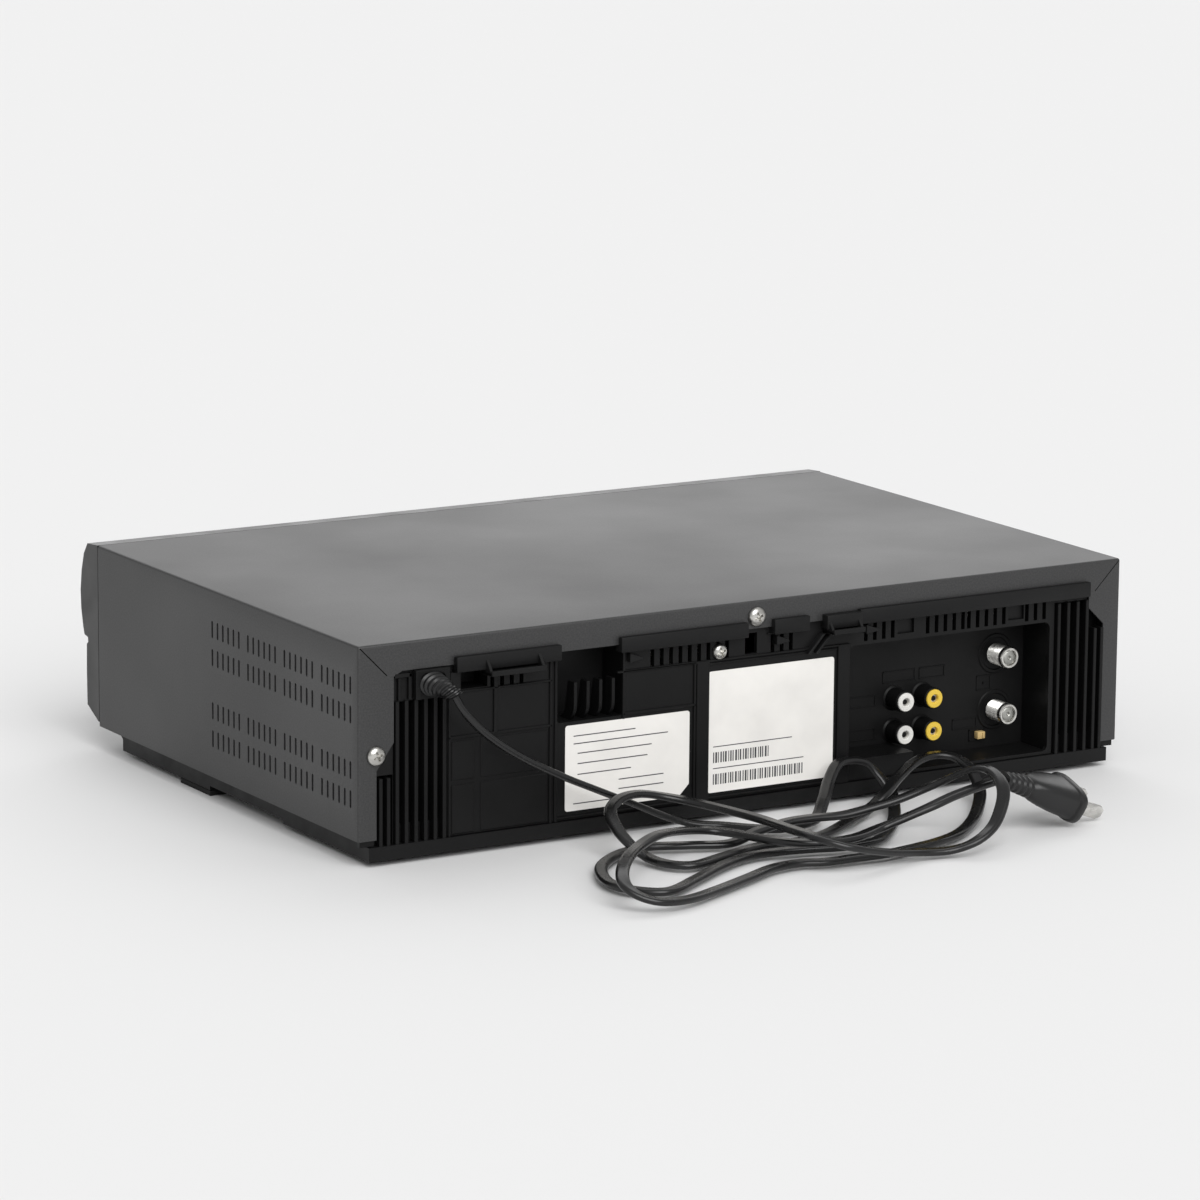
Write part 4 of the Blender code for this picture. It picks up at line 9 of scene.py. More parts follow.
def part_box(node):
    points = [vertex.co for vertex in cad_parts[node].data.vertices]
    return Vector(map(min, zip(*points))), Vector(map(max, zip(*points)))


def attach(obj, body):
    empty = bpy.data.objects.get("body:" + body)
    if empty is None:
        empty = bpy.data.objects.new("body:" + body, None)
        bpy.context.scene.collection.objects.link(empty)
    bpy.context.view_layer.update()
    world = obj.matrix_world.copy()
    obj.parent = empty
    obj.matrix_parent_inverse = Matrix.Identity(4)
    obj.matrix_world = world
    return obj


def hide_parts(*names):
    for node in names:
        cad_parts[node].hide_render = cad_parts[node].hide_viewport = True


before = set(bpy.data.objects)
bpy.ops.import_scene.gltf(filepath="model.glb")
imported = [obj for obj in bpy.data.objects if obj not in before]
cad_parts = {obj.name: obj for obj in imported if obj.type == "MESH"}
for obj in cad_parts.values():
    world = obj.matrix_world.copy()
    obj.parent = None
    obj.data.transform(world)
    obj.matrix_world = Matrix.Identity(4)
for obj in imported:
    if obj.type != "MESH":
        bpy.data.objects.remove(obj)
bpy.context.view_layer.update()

bl_info = {
    "name": "Video cassette recorder",
    "version": (1, 0, 0),
    "blender": (4, 5, 0),
    "location": "View3D > Sidebar > Recorder",
    "description": "Builds the visible pieces of a video cassette recorder around its solids",
    "category": "Object",
}

MM = 0.001
CASE = "case"

# The case, read from the frame
COVER_LOW, COVER_HIGH = (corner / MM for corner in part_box("top_cover"))
HALF_WIDTH = COVER_HIGH.x
FRONT_Y = COVER_LOW.y
REAR_Y = COVER_HIGH.y
COVER_BOTTOM = COVER_LOW.z
TOP_Z = COVER_HIGH.z
PANEL_FACE = REAR_Y - 1.3
PANEL_BACK = PANEL_FACE - 2.2
SHEET = 1.0

# Cover, in millimetres
FOLD_RADIUS = 1.1
FOLD_STEPS = 4
MOULD_EDGE = 0.25
LIP_TOP = 12.0
LIP_CORNER_X = 169.5
LIP_LEFT_EDGE = ((173.5, 14.0), (173.5, 41.5), (181.5, 52.6))
LIP_RIGHT_EDGE = ((-181.5, 28.3), (-173.5, 20.6), (-173.5, 14.0))
MITRE_WIDTH = 0.45
MITRE_START = 1.2
MITRE_END = (176.6, 13.4)
SLOT_WIDTH = 1.5
SLOT_HEIGHT = 7.5
SLOT_PITCH = 4.9
SLOT_GROUP_PITCH = 32.8
SLOT_GROUPS = 4
SLOTS_PER_GROUP = 6
SLOT_REAR_MARGIN = 5.8
SLOT_ROW_DROPS = (13.3, 25.5, 48.6, 60.8)
SLOT_CUT = 3.0
ARC_STEPS = 6
OVERRUN = 5.0
MERGE = 0.002
SINK = 1.0

# Rear panel, in millimetres. Four numbers in a row are left, right, upper and lower edge.
# The first two are X, the others are the drop from the top of the case.
RECESS = (-153.7, -48.9, 25.0, 75.0)
RECESS_CORNER = 3.0
RECESS_FOOT = (-153.7, -83.0, 75.0, 82.8)
RECESS_FOOT_CORNER = 2.5
RECESS_FOOT_OVERLAP = 6.0
RECESS_FLOOR = REAR_Y - 21.0
CAVITY = (64.0, 95.7, 12.5, 42.5)
CAVITY_CORNER = 1.2
CAVITY_FLOOR = REAR_Y - 18.0
DARK_POCKET = (129.0, 141.5, 15.5, 23.0)
DARK_POCKET_DEPTH = 9.0
FIN_TRAYS = ((148.0, 182.0, 25.0, 84.5), (-182.5, -156.0, 17.0, 84.5))
FIN_TRAY_DEPTH = 4.0
OPENINGS = ((-2.0, 4.0, 14.0, 23.0), (148.0, 173.2, 25.0, 84.5), (173.4, 182.0, 55.0, 84.5),
            (-182.5, -156.0, 17.0, 84.5))
POCKET_WALL = 1.6
POCKET_SKIN = 1.5
POCKET_SINK = 0.02
SLIT_GROUPS = ((111.9, 4), (12.0, 9), (-20.0, 3), (-72.0, 4), (-108.5, 5), (-130.0, 5), (-151.4, 3))
SLIT_PITCH = 4.6
SLIT_WIDTH = 1.9
SLIT_TOP = 15.8
SLIT_HEIGHT = 7.8
WINDOWS = ((-82.0, -73.6), (-139.6, -131.4))
WINDOW_DEPTH = 1.4
WINDOW_SHORTFALL = 1.4
LEFT_FINS = (148.9, 153.1, 157.6, 162.1, 166.6, 170.9)
LEFT_FIN_WIDTH = 1.7
LEFT_FIN_TOP = 24.6
LOWER_FINS = (175.0, 178.6)
LOWER_FIN_TOP = 56.0
RIGHT_FINS = (-157.0, -162.0, -167.0, -172.0, -176.6, -180.2)
RIGHT_FIN_TOPS = (17.0, 17.0, 17.0, 17.0, 30.0, 30.0)
FIN_WIDTH = 1.6
FIN_PROUD = 1.5
FIN_DEPTH = 3.0
FIN_FOOT = 84.5
POSTS = (25.0, -45.8)
POST_HALF = 3.1
POST_TOP = 23.5
LINE_PROUD = 0.9
RAISED_LINES = (
    (98.5, 147.6, 23.4, 24.3), (98.5, 147.6, 42.4, 43.4), (98.5, 99.6, 15.0, 85.0),
    (124.4, 126.2, 15.0, 43.0), (146.6, 147.6, 24.0, 85.0), (28.4, 64.2, 23.3, 24.2),
    (28.4, 64.2, 41.4, 42.4), (63.2, 64.4, 15.0, 44.0),
    (28.4, 29.4, 24.0, 83.5), (96.0, 97.2, 12.5, 84.5), (29.0, 96.6, 82.6, 83.4), (-42.4, 22.4, 24.8, 25.6),
    (-42.4, 22.4, 82.6, 83.4), (-48.4, 67.0, 23.4, 24.4), (-26.0, -7.0, 14.8, 15.5))
FIELD_PROUD = 0.45
RAISED_FIELDS = ((100.4, 132.2, 44.6, 61.0), (100.4, 132.2, 63.0, 83.6), (135.2, 145.9, 44.6, 61.0),
                 (135.2, 145.9, 63.0, 83.6))
FRAME_LINE = 0.5
FRAME_PROUD = 0.35
FRAME_SINK = 0.2
FLOOR_FRAMES = ((-96.5, -79.5, 43.4, 48.6), (-112.0, -98.6, 43.4, 48.6), (-76.0, -60.5, 53.0, 58.0),
                (-76.0, -60.5, 67.6, 72.6), (-136.6, -129.0, 50.4, 57.0), (-129.6, -116.6, 68.6, 73.4))
FLOOR_DOT = (-133.6, -132.4, 53.4, 54.6)
FLOOR_DOT_PROUD = 0.6
POCKET_FINS = (68.0, 74.1, 80.2, 86.3)
POCKET_FIN_WIDTH = 1.5
POCKET_FIN_PROUD = 0.4
POCKET_FIN_DEPTH = 5.4
POCKET_FIN_CURVE = 7.0
POCKET_FIN_DROPS = (26.0, 36.0, 43.0)
POCKET_FIN_INNER_SHARES = (0.7, 0.86)
LEDGES = ((96.0, 145.6), (4.7, 67.2), (-26.0, -8.3), (-172.3, -51.6))
LEDGE_TOP = 8.5
LEDGE_HEIGHT = 6.5
LEDGE_PROUD = 3.0
LEDGE_EDGE = 0.35
LEDGE_SEAT = 0.3
HOOKS = ((106.0, 132.0), (-51.0, -35.0))
HOOK_REACH = 8.0
HOOK_FOOT = 17.6
HOOK_OUTLINE = ((0.0, 0.4), (0.0, 2.6), (1.3, 2.6), (1.3, 1.7))
HOOK_THICKNESS = 1.5
GUSSET_WIDTH = 1.3
GUSSET_INSET = 0.2
GUSSET_RISE = (0.2, 0.6)
GUSSET_DROP = (4.0, 1.0)
BARBS = (62.0, -10.5, -56.0)
BARB_FOOT = 20.0
BARB_OUTLINE = ((0.0, 0.0), (-6.5, 0.9), (-6.0, 2.0), (0.0, 4.2))
BARB_PROUD = 2.6
STRUTS = (-27.5, -31.5)
STRUT_OUTLINE = ((0.0, 25.6), (1.5, 25.6), (-6.0, 17.4), (-7.5, 17.4))
STRUT_PROUD = 3.0
LATCH = (-52.0, -34.0, 9.2, 15.2)
LATCH_PROUD = 1.2
BLOCK_EDGE = 0.3
SMALL_EDGE = 0.2
FINE_EDGE = 0.1
INLET_BLOCK = (148.3, 164.2, 12.3, 24.6)
INLET_PROUD = 2.2
INLET_ARCH = (150.3, 162.2, 13.6, 26.0)
INLET_ARCH_PROUD = 1.2
INLET_ARCH_CORNER = 3.0
CLIP_BARS = ((165.2, 173.0, 13.2, 15.0), (165.2, 166.6, 13.2, 24.4), (170.2, 171.4, 15.0, 24.4),
             (142.6, 147.4, 15.2, 23.2))
CLIP_PROUD = 1.6

# Labels, in millimetres
RATING_PAPER = (31.4, 92.0, 44.0, 80.6)
RATING_CUT = 5.0
SERIAL_PAPER = (-40.9, 22.1, 28.5, 81.0)
PAPER_CORNER = 1.2
PAPER_SEAT = 0.3
PAPER_THICKNESS = 0.2
INK_FACE = 0.23
INK_DEPTH = 0.06
RATING_RULES = ((48.5, 58.0, 88.0), (51.8, 42.0, 88.0), (56.0, 50.0, 86.0), (60.4, 52.0, 86.0),
                (65.0, 60.0, 86.0), (69.4, 44.0, 66.0), (73.4, 44.0, 66.0), (77.4, 50.0, 88.0))
RATING_RULE_WEIGHT = 0.45
SERIAL_RULE_WEIGHT = 0.4
SERIAL_RULE_LIFT = 2.6
BAR_ROWS = ((63.6, -20.0, -8.0), (73.0, -26.0, -26.0))
BAR_START = 19.5
BAR_HEIGHT = 4.6
BAR_WIDTHS = (0.55, 0.9, 0.4, 0.7)
BAR_GAPS = (0.55, 0.45, 0.8)

# Sockets, switch and screws, in millimetres. Turned outlines are radius and height
PHONO_X = (-85.4, -100.3)
PHONO_DROP = (55.5, 70.0)
PHONO_SLEEVE = ((0.0, -4.0), (5.6, -4.0), (5.6, 0.3), (4.85, 0.9), (4.75, 9.0), (4.45, 9.4), (3.9, 9.4),
                (3.9, 8.6), (0.0, 8.6))
PHONO_INSERT = ((1.75, 3.0), (4.1, 8.0), (4.1, 9.9), (3.85, 10.2), (2.1, 10.2), (1.75, 9.8), (1.75, 3.0))
PHONO_CONTACT = ((0.0, 2.0), (1.74, 2.0), (1.74, 8.9), (1.2, 8.9), (1.2, 4.0), (0.0, 4.0))
AERIAL_X = -138.7
AERIAL_DROP = (41.2, 66.4)
AERIAL_FOOT = ((0.0, -3.0), (4.3, -3.0), (4.3, 0.4))
AERIAL_COLLAR = ((4.2, 9.0), (4.7, 9.2), (4.7, 11.0), (4.35, 11.5), (3.55, 11.5), (3.35, 11.2), (3.35, 10.3),
                 (0.0, 10.3))
AERIAL_CORE = ((0.6, 9.8), (3.0, 9.8), (3.0, 10.9), (2.7, 11.1), (1.0, 11.1), (0.6, 10.8), (0.6, 9.8))
AERIAL_BASE = ((0.0, -0.6), (9.0, -0.6), (9.0, 0.1), (8.6, 0.5), (7.4, 0.5), (7.0, 0.1), (0.0, 0.1))
THREAD_END = 8.6
THREAD_PITCH = 0.75
THREAD_CREST = (4.65, 0.25)
THREAD_ROOT = (4.2, 0.62)
CAN_FOOT = 27.0
CAN_GAP = 1.9
CAN_EDGE = 0.6
SWITCH_PLACE = (-130.7, 76.8)
KNOB_HALF = (2.0, 1.6)
KNOB_PROUD = 2.6
KNOB_SINK = 1.6
GRIP_EDGE = 0.15
RIM_EDGE = 0.12
KNOB_GRIP = (-1.2, -0.4, 1.2, 3.1)
RIM_LEFT, RIM_RIGHT, RIM_HALF, RIM_LINE, RIM_PROUD = 3.2, 5.2, 2.6, 0.6, 0.5
SCREWS = (("cover_screw_side", "side_screw", 4.1), ("cover_screw_top", "top_screw", 4.1),
          ("panel_screw", "dark_screw", 3.4))
SCREW_SHANK = 1.4
SCREW_LENGTH = 6.0
SCREW_HEIGHT = 2.2
SCREW_HEAD_SHARES = ((1.0, 0.0), (1.0, 0.5), (0.93, 1.2), (0.72, 1.85), (0.40, 2.15))
CROSS_LOW = (-2.1, -0.5, 0.7)
CROSS_HIGH = (2.1, 0.5, 4.0)
CROSS_TURN = 0.35

# Cord: flat twin lead, its route in metres as in the part's source
CORD_WIDTH = 0.0056
CORD_THICKNESS = 0.0029
CORD_STEP = 0.0022
LEAD_ROUTE = ((0.1530, 0.1390, 0.0717), (0.149, 0.141, 0.064), (0.142, 0.1415, 0.0565),
              (0.133, 0.141, 0.0495), (0.122, 0.140, 0.0425), (0.110, 0.139, 0.036), (0.098, 0.138, 0.030),
              (0.086, 0.137, 0.0245),
              (0.074, 0.136, 0.019), (0.062, 0.135, 0.0135), (0.050, 0.1355, 0.0080), (0.038, 0.139, 0.0040),
              (0.027, 0.144, 0.003))
BUNDLE_ROUTE = (
    (0.0185, 0.1535, 0.003), (0.0095, 0.1605, 0.003), (0.0, 0.1625, 0.004), (-0.012, 0.156, 0.004),
    (-0.021, 0.148, 0.0095), (-0.0295, 0.139, 0.0145), (-0.0375, 0.133, 0.0195), (-0.045, 0.131, 0.02),
    (-0.0535, 0.131, 0.018), (-0.058, 0.1335, 0.013), (-0.0605, 0.139, 0.0075), (-0.056, 0.149, 0.0038),
    (-0.039, 0.174, 0.0033), (-0.0195, 0.194, 0.003), (-0.0075, 0.199, 0.003), (0.004, 0.1985, 0.003),
    (0.017, 0.195, 0.003), (0.031, 0.1925, 0.003), (0.0465, 0.1935, 0.003), (0.0635, 0.201, 0.003),
    (0.083, 0.2135, 0.003), (0.102, 0.2245, 0.003), (0.1125, 0.219, 0.003), (0.117, 0.207, 0.003),
    (0.1155, 0.1955, 0.003), (0.1085, 0.181, 0.003), (0.0995, 0.171, 0.003), (0.0875, 0.163, 0.003),
    (0.073, 0.1595, 0.003), (0.0575, 0.1665, 0.0033), (0.041, 0.172, 0.0033), (0.027, 0.171, 0.0065),
    (0.012, 0.1705, 0.0085), (0.0, 0.1715, 0.009), (-0.013, 0.1735, 0.009), (-0.0245, 0.176, 0.011),
    (-0.0365, 0.1795, 0.014), (-0.0465, 0.1835, 0.018), (-0.0545, 0.189, 0.0225), (-0.0595, 0.197, 0.0275),
    (-0.063, 0.205, 0.03), (-0.0645, 0.2125, 0.028), (-0.0625, 0.22, 0.024), (-0.058, 0.225, 0.018),
    (-0.051, 0.229, 0.0115), (-0.0415, 0.23, 0.0065), (-0.032, 0.226, 0.0033), (-0.0175, 0.224, 0.0038),
    (0.001, 0.2275, 0.007), (0.02, 0.2295, 0.012), (0.0295, 0.22, 0.015), (0.0315, 0.2015, 0.015),
    (0.033, 0.1825, 0.015), (0.0375, 0.1665, 0.0155), (0.044, 0.153, 0.0165), (0.054, 0.144, 0.0185),
    (0.0665, 0.142, 0.021), (0.0775, 0.144, 0.0205), (0.0855, 0.15, 0.0175), (0.088, 0.159, 0.013),
    (0.0875, 0.168, 0.0085), (0.083, 0.175, 0.0035), (0.0805, 0.1875, 0.003), (0.072, 0.194, 0.003),
    (0.055, 0.1885, 0.003), (0.034, 0.1815, 0.003), (0.0195, 0.182, 0.003), (0.0075, 0.181, 0.003),
    (-0.0065, 0.175, 0.003), (-0.024, 0.1635, 0.0033), (-0.039, 0.154, 0.0038), (-0.049, 0.152, 0.0093),
    (-0.062, 0.143, 0.013), (-0.0755, 0.134, 0.0155), (-0.085, 0.131, 0.017), (-0.093, 0.132, 0.017),
    (-0.098, 0.137, 0.0155), (-0.099, 0.146, 0.0115), (-0.095, 0.157, 0.006), (-0.082, 0.174, 0.0035),
    (-0.0665, 0.191, 0.003), (-0.051, 0.204, 0.003), (-0.036, 0.211, 0.003), (-0.0195, 0.215, 0.003),
    (-0.0055, 0.217, 0.003), (0.008, 0.2165, 0.003), (0.0225, 0.216, 0.003), (0.0325, 0.2125, 0.003),
    (0.0465, 0.214, 0.003), (0.064, 0.2225, 0.003), (0.085, 0.2325, 0.003), (0.103, 0.2405, 0.0035),
    (0.117, 0.242, 0.0045), (0.125, 0.238, 0.007), (0.128, 0.232, 0.0105), (0.1235, 0.2225, 0.0135),
    (0.1125, 0.209, 0.015), (0.098, 0.195, 0.015), (0.084, 0.185, 0.015), (0.066, 0.1735, 0.012),
    (0.0515, 0.1705, 0.0098), (0.0435, 0.176, 0.009), (0.039, 0.186, 0.009), (0.0345, 0.1965, 0.009),
    (0.0275, 0.204, 0.009), (0.0165, 0.2085, 0.009), (0.003, 0.208, 0.009), (-0.0125, 0.202, 0.0095),
    (-0.0225, 0.2045, 0.013), (-0.034, 0.208, 0.0175), (-0.0465, 0.207, 0.0205), (-0.061, 0.205, 0.0225),
    (-0.0715, 0.2055, 0.0243))
PLUG_START = Vector((-0.0718, 0.2060, 0.0244))
PLUG_AXIS = Vector((-0.932, -0.127, -0.340))
PLUG_ROLL = math.radians(20.0)

# Boot and plug, in millimetres. A ring is height, width and thickness
BOOT_BASE = (156.26, REAR_Y + 1.6, TOP_Z - 18.5)
BOOT_RIBS = 7
BOOT_RADIUS = 5.6
BOOT_TAPER = 1.7
BOOT_GROOVE = 0.75
BOOT_BEND_SHARE = 0.62
BOOT_SHAPE = (1.12, 0.92, 1.0, 1.0)
NECK_RIBS = 5
NECK_START = 0.4
NECK_LENGTH = 15.0
NECK_SIZE = (8.2, 6.4)
NECK_GROWTH = (3.6, 2.6)
NECK_GROOVE = 1.3
NECK_SQUARENESS = 2.6
BODY_SQUARENESS = 3.4
BODY_RINGS = ((17.0, 13.4, 10.0), (21.0, 16.4, 11.4), (27.0, 19.6, 12.8), (34.5, 22.4, 13.8),
              (36.2, 23.4, 14.1), (36.8, 25.4, 15.2), (37.6, 25.9, 15.5), (39.4, 25.9, 15.5),
              (40.0, 25.2, 14.8))
BLADES = ((6.35, 7.9), (-6.35, 6.3))
BLADE_START = 38.6
BLADE_TIP = 56.0
BLADE_CORNER = (1.6, 2.2)
BLADE_HALF = 0.72
BLADE_EDGE = 0.18
BLADE_HOLE = 1.6
BLADE_HOLE_REACH = 2.0
BLADE_HOLE_SETBACK = 4.0

# The camera, in metres, from the edges of the case in the photograph
CAMERA_PLACE = Vector((1.21542, 2.01717, 0.5604))
CAMERA_HEADING = math.radians(-121.050)
CAMERA_PITCH = math.radians(-11.751)
CAMERA_ROLL = math.radians(0.459)
CAMERA_LENS = 163.68
SENSOR_WIDTH = 36.0
VIEW_END = 50.0

# The studio. A lamp is name, strength, then spread, heading and height in degrees
LAMPS = (("key", 2.2, 50.0, 80.0, 40.0), ("rim", 0.85, 60.0, 240.0, 34.0))
WORLD_STRENGTH = 0.50
SEEN_TONE = 0.885
FLOOR_REACH = 20.0
FLOOR_CELLS = 4

# Colours
COVER_COLOUR = (0.030, 0.030, 0.0304)
PLASTIC_COLOUR = (0.0042, 0.0042, 0.0043)
PAPER_COLOUR = (0.88, 0.860, 0.825)
CORD_COLOUR = (0.0065, 0.0065, 0.0067)
FLOOR_COLOUR = (0.80, 0.80, 0.80)
BOARD_COLOUR = (0.03, 0.11, 0.04)
BOARD_TRACKS = (("Color1", (0.025, 0.10, 0.035)), ("Color2", (0.03, 0.125, 0.045)),
                ("Mortar", (0.07, 0.20, 0.07)))

# Mouldings in the recorder's plastic: name, share of its colour, roughness, size and strength of the grain
PLASTIC_SHARES = {
    "panel": ("panel_plastic", 1.0, 0.44),
    # The recess finish is the panel plastic at 0.85 of its colour: painted shade on the pockets, trays and
    # the aerial bases in the recess
    "panel_shaded": ("recess_plastic", 0.85, 0.5),
    "ledge": ("textured_plastic", 1.5, 0.5, 700.0, 0.6),
    "base": ("base_plastic", 1.1, 0.48),
    "bezel": ("bezel_plastic", 1.6, 0.36, 1800.0, 0.12),
    "button": ("button_plastic", 2.4, 0.34, 1800.0, 0.10),
}
# Vinyl of the cord and plug, in the same order
VINYL_SHARES = {
    "cord": ("cord_vinyl", 1.0, 0.27, 420.0, 0.06),
    "plug": ("plug_vinyl", 1.1, 0.34, 1100.0, 0.14),
}
# Other mouldings, with a colour in place of the share
MOULDINGS = {
    "lens": ("smoked_lens", (0.006, 0.006, 0.007), 0.10, 300.0, 0.01),
    "white": ("white_insert", (0.70, 0.69, 0.66), 0.36, 1200.0, 0.05),
    "yellow": ("yellow_insert", (0.68, 0.47, 0.05), 0.36, 1200.0, 0.05),
    "tan": ("tan_knob", (0.50, 0.36, 0.16), 0.45, 1200.0, 0.10),
    "nylon": ("deck_nylon", (0.62, 0.62, 0.60), 0.42, 900.0, 0.08),
    "rubber": ("soft_rubber", (0.012, 0.012, 0.012), 0.70, 1600.0, 0.35),
    "winding": ("winding_tape", (0.48, 0.32, 0.06), 0.40, 500.0, 0.12),
    "ink": ("label_ink", (0.07, 0.07, 0.075), 0.5, 1500.0, 0.05),
}
# Metals: name, colour, roughness, then size and stretch of the tarnish
PLATINGS = {
    "screw": ("nickel_plate", (0.62, 0.61, 0.58), 0.26),
    "socket": ("socket_plate", (0.66, 0.65, 0.62), 0.24, 420.0),
    "zinc": ("zinc_plate", (0.50, 0.50, 0.47), 0.36),
    "blade": ("blade_plate", (0.74, 0.73, 0.70), 0.22, 120.0, (1.0, 6.0, 1.0)),
}


class RecorderSizes(bpy.types.PropertyGroup):
    """Sizes that a user would change."""
    fold_radius: bpy.props.FloatProperty(name="Fold radius", description="Outer radius of the cover's folds",
                                         default=FOLD_RADIUS * MM, min=0.0002, unit="LENGTH")
    mould_edge: bpy.props.FloatProperty(name="Moulded edge", description="Rounding of moulded plastic edges",
                                        default=MOULD_EDGE * MM, min=0.00005, unit="LENGTH")
    cord_width: bpy.props.FloatProperty(name="Cord width", description="Width of the flat twin cord",
                                        default=CORD_WIDTH, min=0.003, unit="LENGTH")
    cord_thickness: bpy.props.FloatProperty(name="Cord thickness", description="Thickness of one conductor",
                                            default=CORD_THICKNESS, min=0.002, unit="LENGTH")


class RecorderColours(bpy.types.PropertyGroup):
    """Colours of the finishes."""
    cover: bpy.props.FloatVectorProperty(name="Cover paint", description="Colour of the painted cover",
                                         default=COVER_COLOUR, size=3, subtype="COLOR")
    plastic: bpy.props.FloatVectorProperty(name="Moulding", description="Colour of the moulded plastic",
                                           default=PLASTIC_COLOUR, size=3, subtype="COLOR")
    paper: bpy.props.FloatVectorProperty(name="Labels", description="Colour of the paper labels",
                                         default=PAPER_COLOUR, size=3, subtype="COLOR")
    cord: bpy.props.FloatVectorProperty(name="Cord", description="Colour of the cord and plug",
                                        default=CORD_COLOUR, size=3, subtype="COLOR")
    floor: bpy.props.FloatVectorProperty(name="Floor", description="Colour of the studio floor",
                                         default=FLOOR_COLOUR, size=3, subtype="COLOR")


def sizes():
    return bpy.context.scene.recorder_sizes


def colours():
    return bpy.context.scene.recorder_colours


# Materials
DULL_SHEEN = 0.22
FULL_SHEEN = 0.5


def fresh(name, colour, roughness, metallic=0.0):
    """A new material with its shader's plain values set on the shader's own sockets."""
    made = bpy.data.materials.new(name)
    made.use_nodes = True
    shader = made.node_tree.nodes["Principled BSDF"]
    shader.inputs["Base Color"].default_value = (*colour, 1.0)
    shader.inputs["Roughness"].default_value = roughness
    shader.inputs["Metallic"].default_value = metallic
    return made, made.node_tree, shader


def noise(tree, scale, detail=3.0, stretch=(1.0, 1.0, 1.0)):
    """Noise on object coordinates, scaled and stretched."""
    place = tree.nodes.new("ShaderNodeTexCoord")
    turn = tree.nodes.new("ShaderNodeMapping")
    turn.inputs["Scale"].default_value = stretch
    tree.links.new(place.outputs["Object"], turn.inputs["Vector"])
    made = tree.nodes.new("ShaderNodeTexNoise")
    made.inputs["Scale"].default_value = scale
    made.inputs["Detail"].default_value = detail
    tree.links.new(turn.outputs["Vector"], made.inputs["Vector"])
    return made


def ramp(tree, source, low, high, first, second):
    """A colour ramp between two stops, fed by a factor."""
    made = tree.nodes.new("ShaderNodeValToRGB")
    made.color_ramp.elements[0].position = low
    made.color_ramp.elements[1].position = high
    made.color_ramp.elements[0].color = (*first, 1.0)
    made.color_ramp.elements[1].color = (*second, 1.0)
    tree.links.new(source, made.inputs["Fac"])
    return made


def grain(tree, shader, scale, strength, distance):
    """Fine surface bump from noise."""
    source = noise(tree, scale, 2.0)
    bump = tree.nodes.new("ShaderNodeBump")
    bump.inputs["Strength"].default_value = strength
    bump.inputs["Distance"].default_value = distance
    tree.links.new(source.outputs["Fac"], bump.inputs["Height"])
    tree.links.new(bump.outputs["Normal"], shader.inputs["Normal"])


def shifted(colour, share):
    return tuple(min(1.0, value * share) for value in colour)


def painted_steel():
    """Satin paint with a fine speckle and faint darker handling marks."""
    colour = colours().cover
    made, tree, shader = fresh("cover_paint", colour, 0.42)
    speckle = noise(tree, 1400.0, 2.0)
    tone = ramp(tree, speckle.outputs["Fac"], 0.35, 0.68, shifted(colour, 0.80), shifted(colour, 1.30))
    marks = noise(tree, 26.0, 6.0, (1.0, 6.0, 1.0))
    rub = ramp(tree, marks.outputs["Fac"], 0.66, 0.73, (0.0,) * 3, (0.35,) * 3)
    blend = tree.nodes.new("ShaderNodeMix")
    blend.data_type = "RGBA"
    blend.inputs["B"].default_value = (*shifted(colour, 0.72), 1.0)
    tree.links.new(rub.outputs["Color"], blend.inputs["Factor"])
    tree.links.new(tone.outputs["Color"], blend.inputs["A"])
    tree.links.new(blend.outputs["Result"], shader.inputs["Base Color"])
    cloud = noise(tree, 9.0, 4.0)
    rough = ramp(tree, cloud.outputs["Fac"], 0.30, 0.75, (0.38,) * 3, (0.50,) * 3)
    tree.links.new(rough.outputs["Color"], shader.inputs["Roughness"])
    grain(tree, shader, 1100.0, 0.22, 0.00012)
    return made


def moulding(name, colour, roughness=0.46, scale=1500.0, strength=0.25):
    """Moulded plastic with a spark-eroded grain and slow changes in gloss."""
    made, tree, shader = fresh(name, colour, roughness)
    shader.inputs["Specular IOR Level"].default_value = DULL_SHEEN if roughness > 0.4 else FULL_SHEEN
    dust = noise(tree, 34.0, 5.0)
    tone = ramp(tree, dust.outputs["Fac"], 0.38, 0.74, colour, shifted(colour, 1.35))
    tree.links.new(tone.outputs["Color"], shader.inputs["Base Color"])
    cloud = noise(tree, 70.0, 3.0)
    glossy = max(0.02, roughness - 0.06)
    rough = ramp(tree, cloud.outputs["Fac"], 0.3, 0.7, (glossy,) * 3, (roughness + 0.07,) * 3)
    tree.links.new(rough.outputs["Color"], shader.inputs["Roughness"])
    grain(tree, shader, scale, strength, 0.0001)
    return made


def plated(name, colour, roughness, scale=160.0, stretch=(1.0, 1.0, 1.0)):
    """Plated or rolled metal with faint cloudy tarnish."""
    made, tree, shader = fresh(name, colour, roughness, 1.0)
    cloud = noise(tree, scale, 4.0, stretch)
    tone = ramp(tree, cloud.outputs["Fac"], 0.3, 0.72, shifted(colour, 0.62), shifted(colour, 1.12))
    tree.links.new(tone.outputs["Color"], shader.inputs["Base Color"])
    rough = ramp(tree, cloud.outputs["Fac"], 0.3, 0.7, (roughness + 0.16,) * 3, (roughness - 0.04,) * 3)
    tree.links.new(rough.outputs["Color"], shader.inputs["Roughness"])
    grain(tree, shader, scale * 6, 0.08, 0.00005)
    return made


def label_paper():
    colour = colours().paper
    made, tree, shader = fresh("label_paper", colour, 0.55)
    stain = noise(tree, 60.0, 5.0)
    tone = ramp(tree, stain.outputs["Fac"], 0.35, 0.80, colour, shifted(colour, 0.90))
    tree.links.new(tone.outputs["Color"], shader.inputs["Base Color"])
    grain(tree, shader, 900.0, 0.10, 0.00004)
    return made


